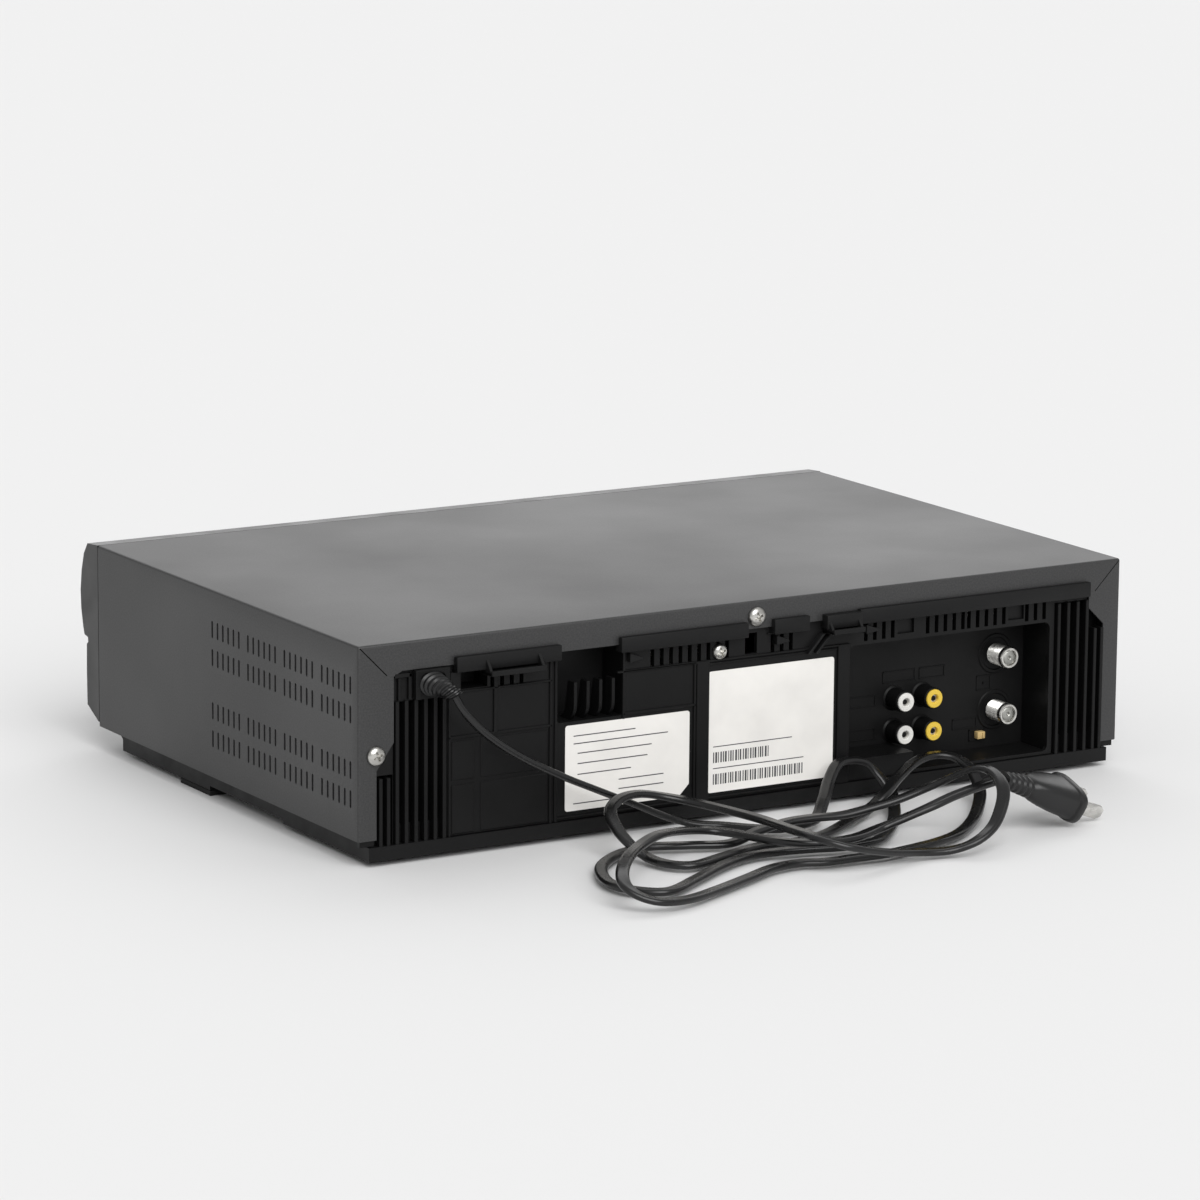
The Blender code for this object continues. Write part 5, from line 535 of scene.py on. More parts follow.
def circuit_board():
    """Solder mask with a pattern of tracks."""
    made, tree, shader = fresh("board_mask", BOARD_COLOUR, 0.35)
    tracks = tree.nodes.new("ShaderNodeTexBrick")
    place = tree.nodes.new("ShaderNodeTexCoord")
    tracks.inputs["Scale"].default_value = 260.0
    tracks.inputs["Mortar Size"].default_value = 0.012
    for socket, colour in BOARD_TRACKS:
        tracks.inputs[socket].default_value = (*colour, 1.0)
    tree.links.new(place.outputs["Object"], tracks.inputs["Vector"])
    tree.links.new(tracks.outputs["Color"], shader.inputs["Base Color"])
    grain(tree, shader, 700.0, 0.1, 0.00004)
    return made


OWN_FINISHES = {"cover": painted_steel, "paper": label_paper, "board": circuit_board}
_made = {}


def finish(look):
    """Each finish is made once, when it is first asked for."""
    if look not in _made:
        if look in OWN_FINISHES:
            _made[look] = OWN_FINISHES[look]()
        elif look in PLATINGS:
            _made[look] = plated(*PLATINGS[look])
        elif look in MOULDINGS:
            _made[look] = moulding(*MOULDINGS[look])
        else:
            table, colour = ((PLASTIC_SHARES, colours().plastic) if look in PLASTIC_SHARES
                             else (VINYL_SHARES, colours().cord))
            name, share, *rest = table[look]
            _made[look] = moulding(name, shifted(colour, share), *rest)
    return _made[look]


# Shapes: everything is drawn in millimetres and stored in metres

def block(shape, low, high, edge=None, rows=1):
    """Add a box between two corners, in any order, with its edges bevelled."""
    a = Vector([min(pair) for pair in zip(low, high)])
    b = Vector([max(pair) for pair in zip(low, high)])
    middle = (a + b) / 2 * MM
    size = (b - a) * MM
    made = bmesh.ops.create_cube(shape, size=1.0, matrix=Matrix.Translation(middle)
                                 @ Matrix.Diagonal((*size, 1.0)))
    width = sizes().mould_edge if edge is None else edge * MM
    width = min(width, min(size) * 0.3)
    if width > 0:
        soften(shape, made["verts"], width, rows)


def soften(shape, verts, width, rows=1):
    edges = list(dict.fromkeys(edge for vert in verts for edge in vert.link_edges))
    bmesh.ops.bevel(shape, geom=edges, offset=width, segments=rows, profile=0.5, affect="EDGES", material=-1)


def pushed(shape, outline, axis, start, end, edge=None, rows=1):
    """Push a flat outline along an axis. Its points give the other two coordinates in X, Y, Z order."""
    ring = []
    for pair in outline:
        point = list(pair)
        point.insert(axis, start)
        ring.append(shape.verts.new(Vector(point) * MM))
    face = shape.faces.new(ring)
    moved = bmesh.ops.extrude_face_region(shape, geom=[face])["geom"]
    fresh_verts = [item for item in moved if isinstance(item, bmesh.types.BMVert)]
    step = Vector((0.0, 0.0, 0.0))
    step[axis] = (end - start) * MM
    bmesh.ops.translate(shape, verts=fresh_verts, vec=step)
    verts = ring + fresh_verts
    faces = list(dict.fromkeys(face for vert in verts for face in vert.link_faces))
    bmesh.ops.recalc_face_normals(shape, faces=faces)
    width = sizes().mould_edge if edge is None else edge * MM
    if width > 0:
        soften(shape, verts, width, rows)


def lathe(shape, profile, place, steps=48):
    """Spin a profile of (radius, height) in millimetres about local Z, then put it in place."""
    line = [shape.verts.new((radius * MM, 0.0, height * MM)) for radius, height in profile]
    edges = [shape.edges.new(pair) for pair in zip(line, line[1:])]
    bmesh.ops.spin(shape, geom=line + edges, cent=(0, 0, 0), axis=(0, 0, 1), angle=math.tau, steps=steps,
                   use_merge=True)
    verts = list(line)
    known = set(line)
    for vert in verts:
        for edge in vert.link_edges:
            near = edge.other_vert(vert)
            if near not in known:
                known.add(near)
                verts.append(near)
    bmesh.ops.transform(shape, matrix=place, verts=verts)
    bmesh.ops.remove_doubles(shape, verts=verts, dist=MERGE * MM)


def rearward(x, y, z):
    """A place whose local Z points to the rear, given in millimetres."""
    return Matrix.Translation(Vector((x, y, z)) * MM) @ Matrix.Rotation(-math.pi / 2, 4, "X")


def rounded(outline, radius, steps=4):
    """Round every corner of a flat outline with an arc."""
    points = []
    count = len(outline)
    for number in range(count):
        here = Vector(outline[number])
        before = (Vector(outline[number - 1]) - here).normalized()
        after = (Vector(outline[(number + 1) % count]) - here).normalized()
        half = before.angle(after) / 2
        reach = radius / math.tan(half)
        centre = here + (before + after).normalized() * radius / math.sin(half)
        first = here + before * reach - centre
        last = here + after * reach - centre
        for step in range(steps + 1):
            points.append(tuple(centre + first.lerp(last, step / steps).normalized() * radius))
    return points


def span(x0, x1, drop0, drop1, radius=0.0):
    """A rectangle on the rear, as (x, z) points, from X and the drop below the top."""
    corners = ((x0, TOP_Z - drop1), (x1, TOP_Z - drop1), (x1, TOP_Z - drop0), (x0, TOP_Z - drop0))
    return rounded(corners, radius) if radius else corners


def arc(y, z, radius, start, sweep=math.pi):
    """Points along an arc of a circle round (y, z)."""
    angles = [start + sweep * step / ARC_STEPS for step in range(ARC_STEPS + 1)]
    return [(y + radius * math.cos(angle), z + radius * math.sin(angle)) for angle in angles]


def add(shape, other):
    """Put another shape into this one and let go of it."""
    mesh = bpy.data.meshes.new("added")
    other.to_mesh(mesh)
    other.free()
    shape.from_mesh(mesh)
    bpy.data.meshes.remove(mesh)


def temporary(shape):
    mesh = bpy.data.meshes.new("temporary")
    shape.to_mesh(mesh)
    shape.free()
    made = bpy.data.objects.new("temporary", mesh)
    bpy.context.scene.collection.objects.link(made)
    return made


def carve(body, cutters):
    """Cut shapes out of a body, one after another, and return the result as a new shape."""
    target = temporary(body)
    tools = [temporary(cutter) for cutter in cutters]
    for tool in tools:
        step = target.modifiers.new("cut", "BOOLEAN")
        step.operation = "DIFFERENCE"
        step.solver = "EXACT"
        step.object = tool
    mesh = bpy.data.meshes.new_from_object(target.evaluated_get(bpy.context.evaluated_depsgraph_get()))
    result = bmesh.new()
    result.from_mesh(mesh)
    bmesh.ops.remove_doubles(result, verts=result.verts, dist=MERGE * MM)
    for item in (target, *tools):
        bpy.data.objects.remove(item, do_unlink=True)
    bpy.data.meshes.remove(mesh)
    return result


def piece(name, shape, look, stands_for=(), body=CASE, smooth=35.0):
    """Store a shape as a finished piece that rides on a body and may stand for solids."""
    bmesh.ops.recalc_face_normals(shape, faces=shape.faces)
    mesh = bpy.data.meshes.new(name)
    shape.to_mesh(mesh)
    shape.free()
    mesh.materials.append(finish(look))
    mesh.shade_smooth()
    mesh.set_sharp_from_angle(angle=math.radians(smooth))
    made = bpy.data.objects.new(name, mesh)
    bpy.context.scene.collection.objects.link(made)
    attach(made, body)
    if stands_for:
        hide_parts(*stands_for)
    return made


def direction(heading, pitch):
    """The way that a heading about Z and a height above the floor point to."""
    return Vector((math.cos(heading) * math.cos(pitch), math.sin(heading) * math.cos(pitch), math.sin(pitch)))


# The stage

class RECORDER_OT_stage(bpy.types.Operator):
    """Camera, floor, soft light and a pale world"""
    bl_idname = "recorder.stage"
    bl_label = "Stage"

    def execute(self, context):
        scene = context.scene
        camera = bpy.data.cameras.new("camera")
        camera.lens = CAMERA_LENS
        camera.sensor_width = SENSOR_WIDTH
        camera.clip_end = VIEW_END
        eye = bpy.data.objects.new("camera", camera)
        forward = direction(CAMERA_HEADING, CAMERA_PITCH)
        level = forward.cross(Vector((0.0, 0.0, 1.0))).normalized()
        upright = level.cross(forward)
        right = level * math.cos(CAMERA_ROLL) + upright * math.sin(CAMERA_ROLL)
        up = upright * math.cos(CAMERA_ROLL) - level * math.sin(CAMERA_ROLL)
        turn = Matrix((right, up, -forward)).transposed().to_4x4()
        eye.matrix_world = Matrix.Translation(CAMERA_PLACE) @ turn
        scene.collection.objects.link(eye)
        scene.camera = eye
        scene.view_settings.view_transform = "Standard"
        self.floor()
        self.world(scene)
        self.lamps(scene)
        return {"FINISHED"}

    def floor(self):
        shape = bmesh.new()
        bmesh.ops.create_grid(shape, x_segments=FLOOR_CELLS, y_segments=FLOOR_CELLS, size=FLOOR_REACH)
        mesh = bpy.data.meshes.new("floor")
        shape.to_mesh(mesh)
        shape.free()
        made, _, shader = fresh("floor_paper", colours().floor, 0.9)
        shader.inputs["Specular IOR Level"].default_value = 0.0
        mesh.materials.append(made)
        floor = bpy.data.objects.new("floor", mesh)
        bpy.context.scene.collection.objects.link(floor)

    def world(self, scene):
        """White light on the object, and a pale tone where the world itself is seen."""
        world = bpy.data.worlds.new("studio")
        world.use_nodes = True
        tree = world.node_tree
        light = tree.nodes["Background"]
        light.inputs["Color"].default_value = (1.0, 1.0, 1.0, 1.0)
        light.inputs["Strength"].default_value = WORLD_STRENGTH
        seen = tree.nodes.new("ShaderNodeBackground")
        seen.inputs["Color"].default_value = (SEEN_TONE, SEEN_TONE, SEEN_TONE, 1.0)
        path = tree.nodes.new("ShaderNodeLightPath")
        either = tree.nodes.new("ShaderNodeMath")
        either.operation = "MAXIMUM"
        mix = tree.nodes.new("ShaderNodeMixShader")
        tree.links.new(path.outputs["Is Camera Ray"], either.inputs[0])
        tree.links.new(path.outputs["Is Transmission Ray"], either.inputs[1])
        tree.links.new(either.outputs["Value"], mix.inputs["Fac"])
        tree.links.new(light.outputs["Background"], mix.inputs[1])
        tree.links.new(seen.outputs["Background"], mix.inputs[2])
        tree.links.new(mix.outputs["Shader"], tree.nodes["World Output"].inputs["Surface"])
        scene.world = world

    def lamps(self, scene):
        """Wide suns give the even studio light and a soft shadow."""
        for name, strength, spread, heading, height in LAMPS:
            lamp = bpy.data.lights.new(name, "SUN")
            lamp.energy = strength
            lamp.angle = math.radians(spread)
            made = bpy.data.objects.new(name, lamp)
            away = direction(math.radians(heading), math.radians(height))
            made.rotation_euler = away.to_track_quat("Z", "Y").to_euler()
            scene.collection.objects.link(made)


# The cord and its plug

def smooth_path(points, step):
    """Points at an even step on a smooth curve through all the given points."""
    points = [Vector(point) for point in points]
    ends = [2 * points[0] - points[1], *points, 2 * points[-1] - points[-2]]
    fine = []
    for before, start, end, after in zip(ends, ends[1:], ends[2:], ends[3:]):
        for number in range(10):
            share = number / 10
            fine.append(0.5 * (2 * start + (end - before) * share
                               + (2 * before - 5 * start + 4 * end - after) * share ** 2
                               + (3 * start - before - 3 * end + after) * share ** 3))
    fine.append(points[-1])
    lengths = [0.0]
    for first, second in zip(fine, fine[1:]):
        lengths.append(lengths[-1] + (second - first).length)
    count = max(2, round(lengths[-1] / step))
    even = []
    place = 0
    for number in range(count + 1):
        goal = lengths[-1] * number / count
        while place < len(fine) - 2 and lengths[place + 1] < goal:
            place += 1
        share = (goal - lengths[place]) / (lengths[place + 1] - lengths[place])
        even.append(fine[place].lerp(fine[place + 1], min(max(share, 0.0), 1.0)))
    return even


def swept(name, points, section):
    """A mesh tube: Blender's own curve bevel with a flat section, turned into a mesh."""
    profile = bpy.data.curves.new("section", "CURVE")
    profile.dimensions = "2D"
    line = profile.splines.new("POLY")
    line.points.add(len(section) - 1)
    for item, (x, y) in zip(line.points, section):
        item.co = (x, y, 0.0, 1.0)
    line.use_cyclic_u = True
    shape_object = bpy.data.objects.new("section", profile)
    bpy.context.scene.collection.objects.link(shape_object)
    path = bpy.data.curves.new(name, "CURVE")
    path.dimensions = "3D"
    path.twist_mode = "Z_UP"
    path.bevel_mode = "OBJECT"
    path.bevel_object = shape_object
    path.use_fill_caps = True
    run = path.splines.new("POLY")
    run.points.add(len(points) - 1)
    for item, point in zip(run.points, points):
        item.co = (*point, 1.0)
    path_object = bpy.data.objects.new(name, path)
    bpy.context.scene.collection.objects.link(path_object)
    mesh = bpy.data.meshes.new_from_object(path_object.evaluated_get(bpy.context.evaluated_depsgraph_get()))
    shape = bmesh.new()
    shape.from_mesh(mesh)
    bmesh.ops.remove_doubles(shape, verts=shape.verts, dist=MERGE * MM)
    bpy.data.objects.remove(path_object, do_unlink=True)
    bpy.data.objects.remove(shape_object, do_unlink=True)
    bpy.data.meshes.remove(mesh)
    return shape


def twin_section(width, thickness, steps=10):
    """The outline of a flat twin cord: two round conductors side by side with a groove between."""
    radius = thickness / 2
    centre = width / 2 - radius
    points = []
    for side in (1, -1):
        start = -1.15 * math.pi / 2
        for number in range(steps + 1):
            angle = start - 2 * start * number / steps
            points.append((side * (centre + radius * math.cos(angle)), side * radius * math.sin(angle)))
    return points


class RECORDER_OT_cord(bpy.types.Operator):
    """The flat twin mains cord and its ribbed boot"""
    bl_idname = "recorder.cord"
    bl_label = "Cord"

    def execute(self, context):
        points = smooth_path([*LEAD_ROUTE, *BUNDLE_ROUTE], CORD_STEP)
        section = twin_section(sizes().cord_width, sizes().cord_thickness)
        shape = swept("mains_cord", points, section)
        cord = piece("mains_cord", shape, "cord", ("cord_lead", "cord_bundle"), smooth=50.0)
        self.boot()
        return {"FINISHED"}

    def boot(self):
        """A tapered sleeve of curved ribs that leans over with the cord."""
        base = Vector(BOOT_BASE)
        start = Vector(LEAD_ROUTE[0]) / MM
        lean = (Vector(LEAD_ROUTE[1]) - Vector(LEAD_ROUTE[0])).normalized()
        straight = Vector((0.0, 1.0, 0.0))
        bend = base + straight * (start - base).length * BOOT_BEND_SHARE
        shape = bmesh.new()
        loops = []
        for share, groove in ribbed(BOOT_RIBS, BOOT_GROOVE):
            centre = base * (1 - share) ** 2 + bend * 2 * share * (1 - share) + start * share ** 2
            facing = (straight * (1 - share) + lean * share).normalized()
            turn = Vector((0.0, 0.0, 1.0)).rotation_difference(facing).to_matrix().to_4x4()
            place = Matrix.Translation(centre * MM) @ turn @ Matrix.Diagonal(BOOT_SHAPE)
            size = BOOT_RADIUS - BOOT_TAPER * share - groove
            loops.append(bmesh.ops.create_circle(shape, segments=28, radius=size * MM, matrix=place)["verts"])
        skin(shape, loops)
        piece("cord_boot_sleeve", shape, "plug", ("cord_boot",), smooth=28.0)


def ribbed(ribs, depth):
    """Shares along a ribbed neck, two rings on each rib and two in each groove, with each ring's depth."""
    for number in range(4 * ribs + 1):
        yield number / (4 * ribs), depth if number % 4 in (2, 3) else 0.0


def plug_frame():
    """The plug's own frame: Z along its blades, X across its width."""
    forward = PLUG_AXIS.normalized()
    side = Vector((0.0, 0.0, 1.0)).cross(forward).normalized()
    up = forward.cross(side)
    width = side * math.cos(PLUG_ROLL) + up * math.sin(PLUG_ROLL)
    depth = forward.cross(width)
    turn = Matrix((width, depth, forward)).transposed().to_4x4()
    return Matrix.Translation(PLUG_START) @ turn


def section_ring(shape, height, width, thickness, squareness, place):
    """A rounded rectangle across the plug, made from a circle of vertices."""
    made = bmesh.ops.create_circle(shape, segments=32, radius=1.0)["verts"]
    power = 2.0 / squareness
    for vert in made:
        angle = math.atan2(vert.co.y, vert.co.x)
        x = math.copysign(abs(math.cos(angle)) ** power, math.cos(angle)) * width / 2
        y = math.copysign(abs(math.sin(angle)) ** power, math.sin(angle)) * thickness / 2
        vert.co = Vector((x, y, height)) * MM
    bmesh.ops.transform(shape, matrix=place, verts=made)
    return made


def skin(shape, loops):
    """Bridge a row of rings one after another and close both ends."""
    for first, second in zip(loops, loops[1:]):
        both = set(first) | set(second)
        edges = [edge for edge in shape.edges if edge.verts[0] in both and edge.verts[1] in both
                 and (edge.verts[0] in first) == (edge.verts[1] in first)]
        bmesh.ops.bridge_loops(shape, edges=edges)
    bmesh.ops.holes_fill(shape, edges=[edge for edge in shape.edges if edge.is_boundary], sides=0)


class RECORDER_OT_plug(bpy.types.Operator):
    """The moulded two-blade plug"""
    bl_idname = "recorder.plug"
    bl_label = "Plug"

    def execute(self, context):
        place = plug_frame()
        shape = bmesh.new()
        loops = []
        for share, groove in ribbed(NECK_RIBS, NECK_GROOVE):
            width, thickness = (size + growth * share - groove
                                for size, growth in zip(NECK_SIZE, NECK_GROWTH))
            height = NECK_START + NECK_LENGTH * share
            loops.append(section_ring(shape, height, width, thickness, NECK_SQUARENESS, place))
        for ring in BODY_RINGS:
            loops.append(section_ring(shape, *ring, BODY_SQUARENESS, place))
        skin(shape, loops)
        piece("plug_shell", shape, "plug", ("plug_body",), smooth=32.0)
        self.blades(place)
        return {"FINISHED"}

    def blades(self, place):
        shape = bmesh.new()
        inset, drop = BLADE_CORNER
        for x, width in BLADES:
            half = width / 2
            shoulder = BLADE_TIP - drop
            outline = ((-half, BLADE_START), (half, BLADE_START), (half, shoulder), (half - inset, BLADE_TIP),
                       (inset - half, BLADE_TIP), (-half, shoulder))
            plate = bmesh.new()
            pushed(plate, outline, 0, x - BLADE_HALF, x + BLADE_HALF, BLADE_EDGE)
            middle = Vector((x, 0.0, BLADE_TIP - BLADE_HOLE_SETBACK)) * MM
            drill = bmesh.new()
            profile = ((0.0, -BLADE_HOLE_REACH), (BLADE_HOLE, -BLADE_HOLE_REACH),
                       (BLADE_HOLE, BLADE_HOLE_REACH), (0.0, BLADE_HOLE_REACH))
            lathe(drill, profile, Matrix.Translation(middle) @ Matrix.Rotation(math.pi / 2, 4, "Y"), 24)
            add(shape, carve(plate, [drill]))
        bmesh.ops.transform(shape, matrix=place, verts=shape.verts)
        piece("plug_blades", shape, "blade", ("plug_blade_wide", "plug_blade_narrow"))


# The cover

class RECORDER_OT_cover(bpy.types.Operator):
    """The folded steel cover with its slots and mitred rear lip"""
    bl_idname = "recorder.cover"
    bl_label = "Cover"

    def execute(self, context):
        outer = bmesh.new()
        block(outer, (-HALF_WIDTH, FRONT_Y, COVER_BOTTOM), (HALF_WIDTH, REAR_Y, TOP_Z), 0.0)
        fold = [edge for edge in outer.edges if self.is_fold(edge)]
        bmesh.ops.bevel(outer, geom=fold, offset=sizes().fold_radius, segments=FOLD_STEPS, profile=0.5,
                        affect="EDGES", material=-1)
        inner = bmesh.new()
        block(inner, (SHEET - HALF_WIDTH, FRONT_Y - OVERRUN, COVER_BOTTOM - OVERRUN),
              (HALF_WIDTH - SHEET, REAR_Y - SHEET, TOP_Z - SHEET), 0.0)
        lip = bmesh.new()
        self.through_lip(lip, self.lip_outline())
        slots = bmesh.new()
        self.slots(slots)
        seams = bmesh.new()
        self.seams(seams)
        shape = carve(outer, [inner, lip, slots, seams])
        piece("cover_shell", shape, "cover", ("top_cover",), smooth=30.0)
        return {"FINISHED"}

    def is_fold(self, edge):
        """The long top edges and the rear ones bend round a radius."""
        ends = [vert.co / MM for vert in edge.verts]
        top = all(end.z > TOP_Z - SHEET for end in ends)
        rear = all(end.y > REAR_Y - SHEET for end in ends)
        side = all(abs(end.x) > HALF_WIDTH - SHEET for end in ends) and ends[0].x * ends[1].x > 0
        low = all(end.z < COVER_BOTTOM + SHEET for end in ends)
        front = all(end.y < FRONT_Y + SHEET for end in ends)
        return not front and not low and ((top and (rear or side)) or (rear and side))

    def through_lip(self, shape, outline):
        pushed(shape, outline, 1, REAR_Y - 3 * SHEET, REAR_Y + OVERRUN, 0.0)

    def lip_outline(self):
        """The opening inside the rear lip. Its sides step outwards part of the way down."""
        left = [(x, TOP_Z - drop) for x, drop in LIP_LEFT_EDGE]
        right = [(x, TOP_Z - drop) for x, drop in LIP_RIGHT_EDGE]
        foot = COVER_BOTTOM - OVERRUN
        return (*left, (left[-1][0], foot), (right[0][0], foot), *right,
                (-LIP_CORNER_X, TOP_Z - LIP_TOP), (LIP_CORNER_X, TOP_Z - LIP_TOP))

    def slots(self, shape):
        """Four rows of upright slots in each side, in groups from the rear to the front."""
        radius = SLOT_WIDTH / 2
        for group in range(SLOT_GROUPS):
            for number in range(SLOTS_PER_GROUP):
                y = REAR_Y - SLOT_REAR_MARGIN - group * SLOT_GROUP_PITCH - number * SLOT_PITCH - radius
                for drop in SLOT_ROW_DROPS:
                    top = TOP_Z - drop - radius
                    low = top - SLOT_HEIGHT + SLOT_WIDTH
                    outline = [*arc(y, top, radius, 0.0), *arc(y, low, radius, math.pi)]
                    for side in (-1, 1):
                        inside, outside = side * (HALF_WIDTH - SLOT_CUT), side * (HALF_WIDTH + SLOT_CUT)
                        pushed(shape, outline, 0, inside, outside, 0.0)

    def seams(self, shape):
        """The open mitre at each rear corner, where the folded strips meet."""
        for side in (-1, 1):
            corner = Vector((side * HALF_WIDTH, TOP_Z))
            end = Vector((side * MITRE_END[0], TOP_Z - MITRE_END[1]))
            along = (end - corner).normalized()
            across = Vector((-along.y, along.x)) * MITRE_WIDTH / 2
            start = corner + along * MITRE_START
            self.through_lip(shape, [tuple(point) for point in (start + across, start - across, end - across,
                                                                end + across)])


# The rear panel

def hole(shape, outline):
    """Push an outline through the plate of the rear panel."""
    pushed(shape, outline, 1, PANEL_BACK - SINK, PANEL_FACE + OVERRUN, 0.0)


def raised(shape, edges, front, back=PANEL_FACE - SINK, edge=None, rows=1):
    """A bar on the panel between left, right, upper and lower edge, from a depth to its front face."""
    left, right, top, low = edges
    block(shape, (left, back, TOP_Z - low), (right, front, TOP_Z - top), edge, rows)


class RECORDER_OT_panel(bpy.types.Operator):
    """The moulded rear panel with its recesses, fins, ledges and hooks"""
    bl_idname = "recorder.panel"
    bl_label = "Rear panel"

    def execute(self, context):
        self.plate()
        self.pockets()
        self.ribs()
        self.ledges()
        self.cord_inlet()
        return {"FINISHED"}

    def plate(self):
        """The plate with its pockets. Each pocket is an open box behind a hole in the plate."""
        body = bmesh.new()
        low, high = (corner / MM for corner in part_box("rear_panel"))
        block(body, (-high.x, PANEL_BACK, low.z), (high.x, PANEL_FACE, high.z), 0.0)
        left, right, top, foot = RECESS_FOOT
        cutters = []
        for outline in (span(*RECESS, RECESS_CORNER),
                        span(left, right, top - RECESS_FOOT_OVERLAP, foot, RECESS_FOOT_CORNER),
                        span(*CAVITY, CAVITY_CORNER)):
            cutters.append(bmesh.new())
            hole(cutters[-1], outline)
        others = bmesh.new()
        hole(others, span(*DARK_POCKET))
        for x, count in SLIT_GROUPS:
            for number in range(count):
                left = x + number * SLIT_PITCH
                hole(others, span(left, left + SLIT_WIDTH, SLIT_TOP, SLIT_TOP + SLIT_HEIGHT))
        for left, right in WINDOWS:
            pushed(others, span(left, right, SLIT_TOP, SLIT_TOP + SLIT_HEIGHT - WINDOW_SHORTFALL), 1,
                   PANEL_FACE - WINDOW_DEPTH, PANEL_FACE + OVERRUN, 0.0)
        for opening in OPENINGS:
            hole(others, span(*opening))
        piece("panel_plate", carve(body, [*cutters, others]), "panel", ("rear_panel",))

    def pocket(self, shape, outline, floor):
        """An open-fronted tray: an outer outline pushed back, with the hole cut out of it."""
        grown = bmesh.new()
        points = [Vector(point) for point in outline]
        middle = sum(points, Vector((0.0, 0.0))) / len(points)
        wide = [tuple(point + (point - middle).normalized() * POCKET_WALL) for point in points]
        pushed(grown, wide, 1, floor - POCKET_SKIN, PANEL_BACK + POCKET_SINK, 0.0)
        hollow = bmesh.new()
        pushed(hollow, outline, 1, floor, PANEL_FACE + OVERRUN, 0.0)
        add(shape, carve(grown, [hollow]))

    def pockets(self):
        shape = bmesh.new()
        left, right, top, low = RECESS
        step, foot = RECESS_FOOT[1], RECESS_FOOT[3]
        recess = [(x, TOP_Z - drop) for x, drop in ((left, foot), (step, foot), (step, low), (right, low),
                                                    (right, top), (left, top))]
        self.pocket(shape, recess, RECESS_FLOOR)
        self.pocket(shape, span(*DARK_POCKET), PANEL_BACK - DARK_POCKET_DEPTH)
        for tray in FIN_TRAYS:
            self.pocket(shape, span(*tray), PANEL_BACK - FIN_TRAY_DEPTH)
        # The pockets, trays and hand pocket take the darker recess finish: painted shade
        piece("panel_pockets", shape, "panel_shaded")
        cavity = bmesh.new()
        self.pocket(cavity, span(*CAVITY), CAVITY_FLOOR)
        piece("hand_pocket", cavity, "panel_shaded")

    def ribs(self):
        """Fins, posts and the raised lines that frame the plain fields."""
        shape = bmesh.new()
        fins = [(x, x + LEFT_FIN_WIDTH, LEFT_FIN_TOP, FIN_FOOT) for x in LEFT_FINS]
        fins += [(x, x + FIN_WIDTH, LOWER_FIN_TOP, FIN_FOOT) for x in LOWER_FINS]
        fins += [(x - FIN_WIDTH, x, top, FIN_FOOT) for x, top in zip(RIGHT_FINS, RIGHT_FIN_TOPS)]
        for fin in fins:
            raised(shape, fin, PANEL_FACE + FIN_PROUD, PANEL_BACK - FIN_DEPTH)
        for x in POSTS:
            raised(shape, (x - POST_HALF, x + POST_HALF, POST_TOP, FIN_FOOT), PANEL_FACE + SINK)
        for line in RAISED_LINES:
            raised(shape, line, PANEL_FACE + LINE_PROUD)
        for field in RAISED_FIELDS:
            raised(shape, field, PANEL_FACE + FIELD_PROUD, edge=BLOCK_EDGE)
        self.frame_lines(shape)
        piece("panel_ribs", shape, "panel")
        blades = bmesh.new()
        for x in POCKET_FINS:
            self.curved_fin(blades, x)
        piece("pocket_fins", blades, "panel")

    def frame_lines(self, shape):
        """Plain frames and a dot on the floor of the jack recess."""
        back = RECESS_FLOOR - FRAME_SINK
        for left, right, top, low in FLOOR_FRAMES:
            for line in ((left, right, low - FRAME_LINE, low), (left, right, top, top + FRAME_LINE),
                         (left, left + FRAME_LINE, top, low), (right - FRAME_LINE, right, top, low)):
                raised(shape, line, RECESS_FLOOR + FRAME_PROUD, back, FINE_EDGE)
        raised(shape, FLOOR_DOT, RECESS_FLOOR + FLOOR_DOT_PROUD, back, SMALL_EDGE)

    def curved_fin(self, shape, x):
        """A blade that stands in the pocket and curves back towards its foot."""
        front = PANEL_FACE + POCKET_FIN_PROUD
        top, bend, foot = (TOP_Z - drop for drop in POCKET_FIN_DROPS)
        back_share, foot_share = POCKET_FIN_INNER_SHARES
        back = front - POCKET_FIN_DEPTH
        outline = [(back, top), (front, top)]
        for across, up in arc(0.0, 0.0, 1.0, 0.0, math.pi / 2):
            outline.append((front - POCKET_FIN_CURVE + POCKET_FIN_CURVE * across, bend - (bend - foot) * up))
        for across, up in reversed(arc(0.0, 0.0, 1.0, 0.0, math.pi / 2)):
            outline.append((back - POCKET_FIN_CURVE + POCKET_FIN_CURVE * across * back_share,
                            bend - (bend - foot) * foot_share * up))
        pushed(shape, outline, 0, x, x + POCKET_FIN_WIDTH, SMALL_EDGE)

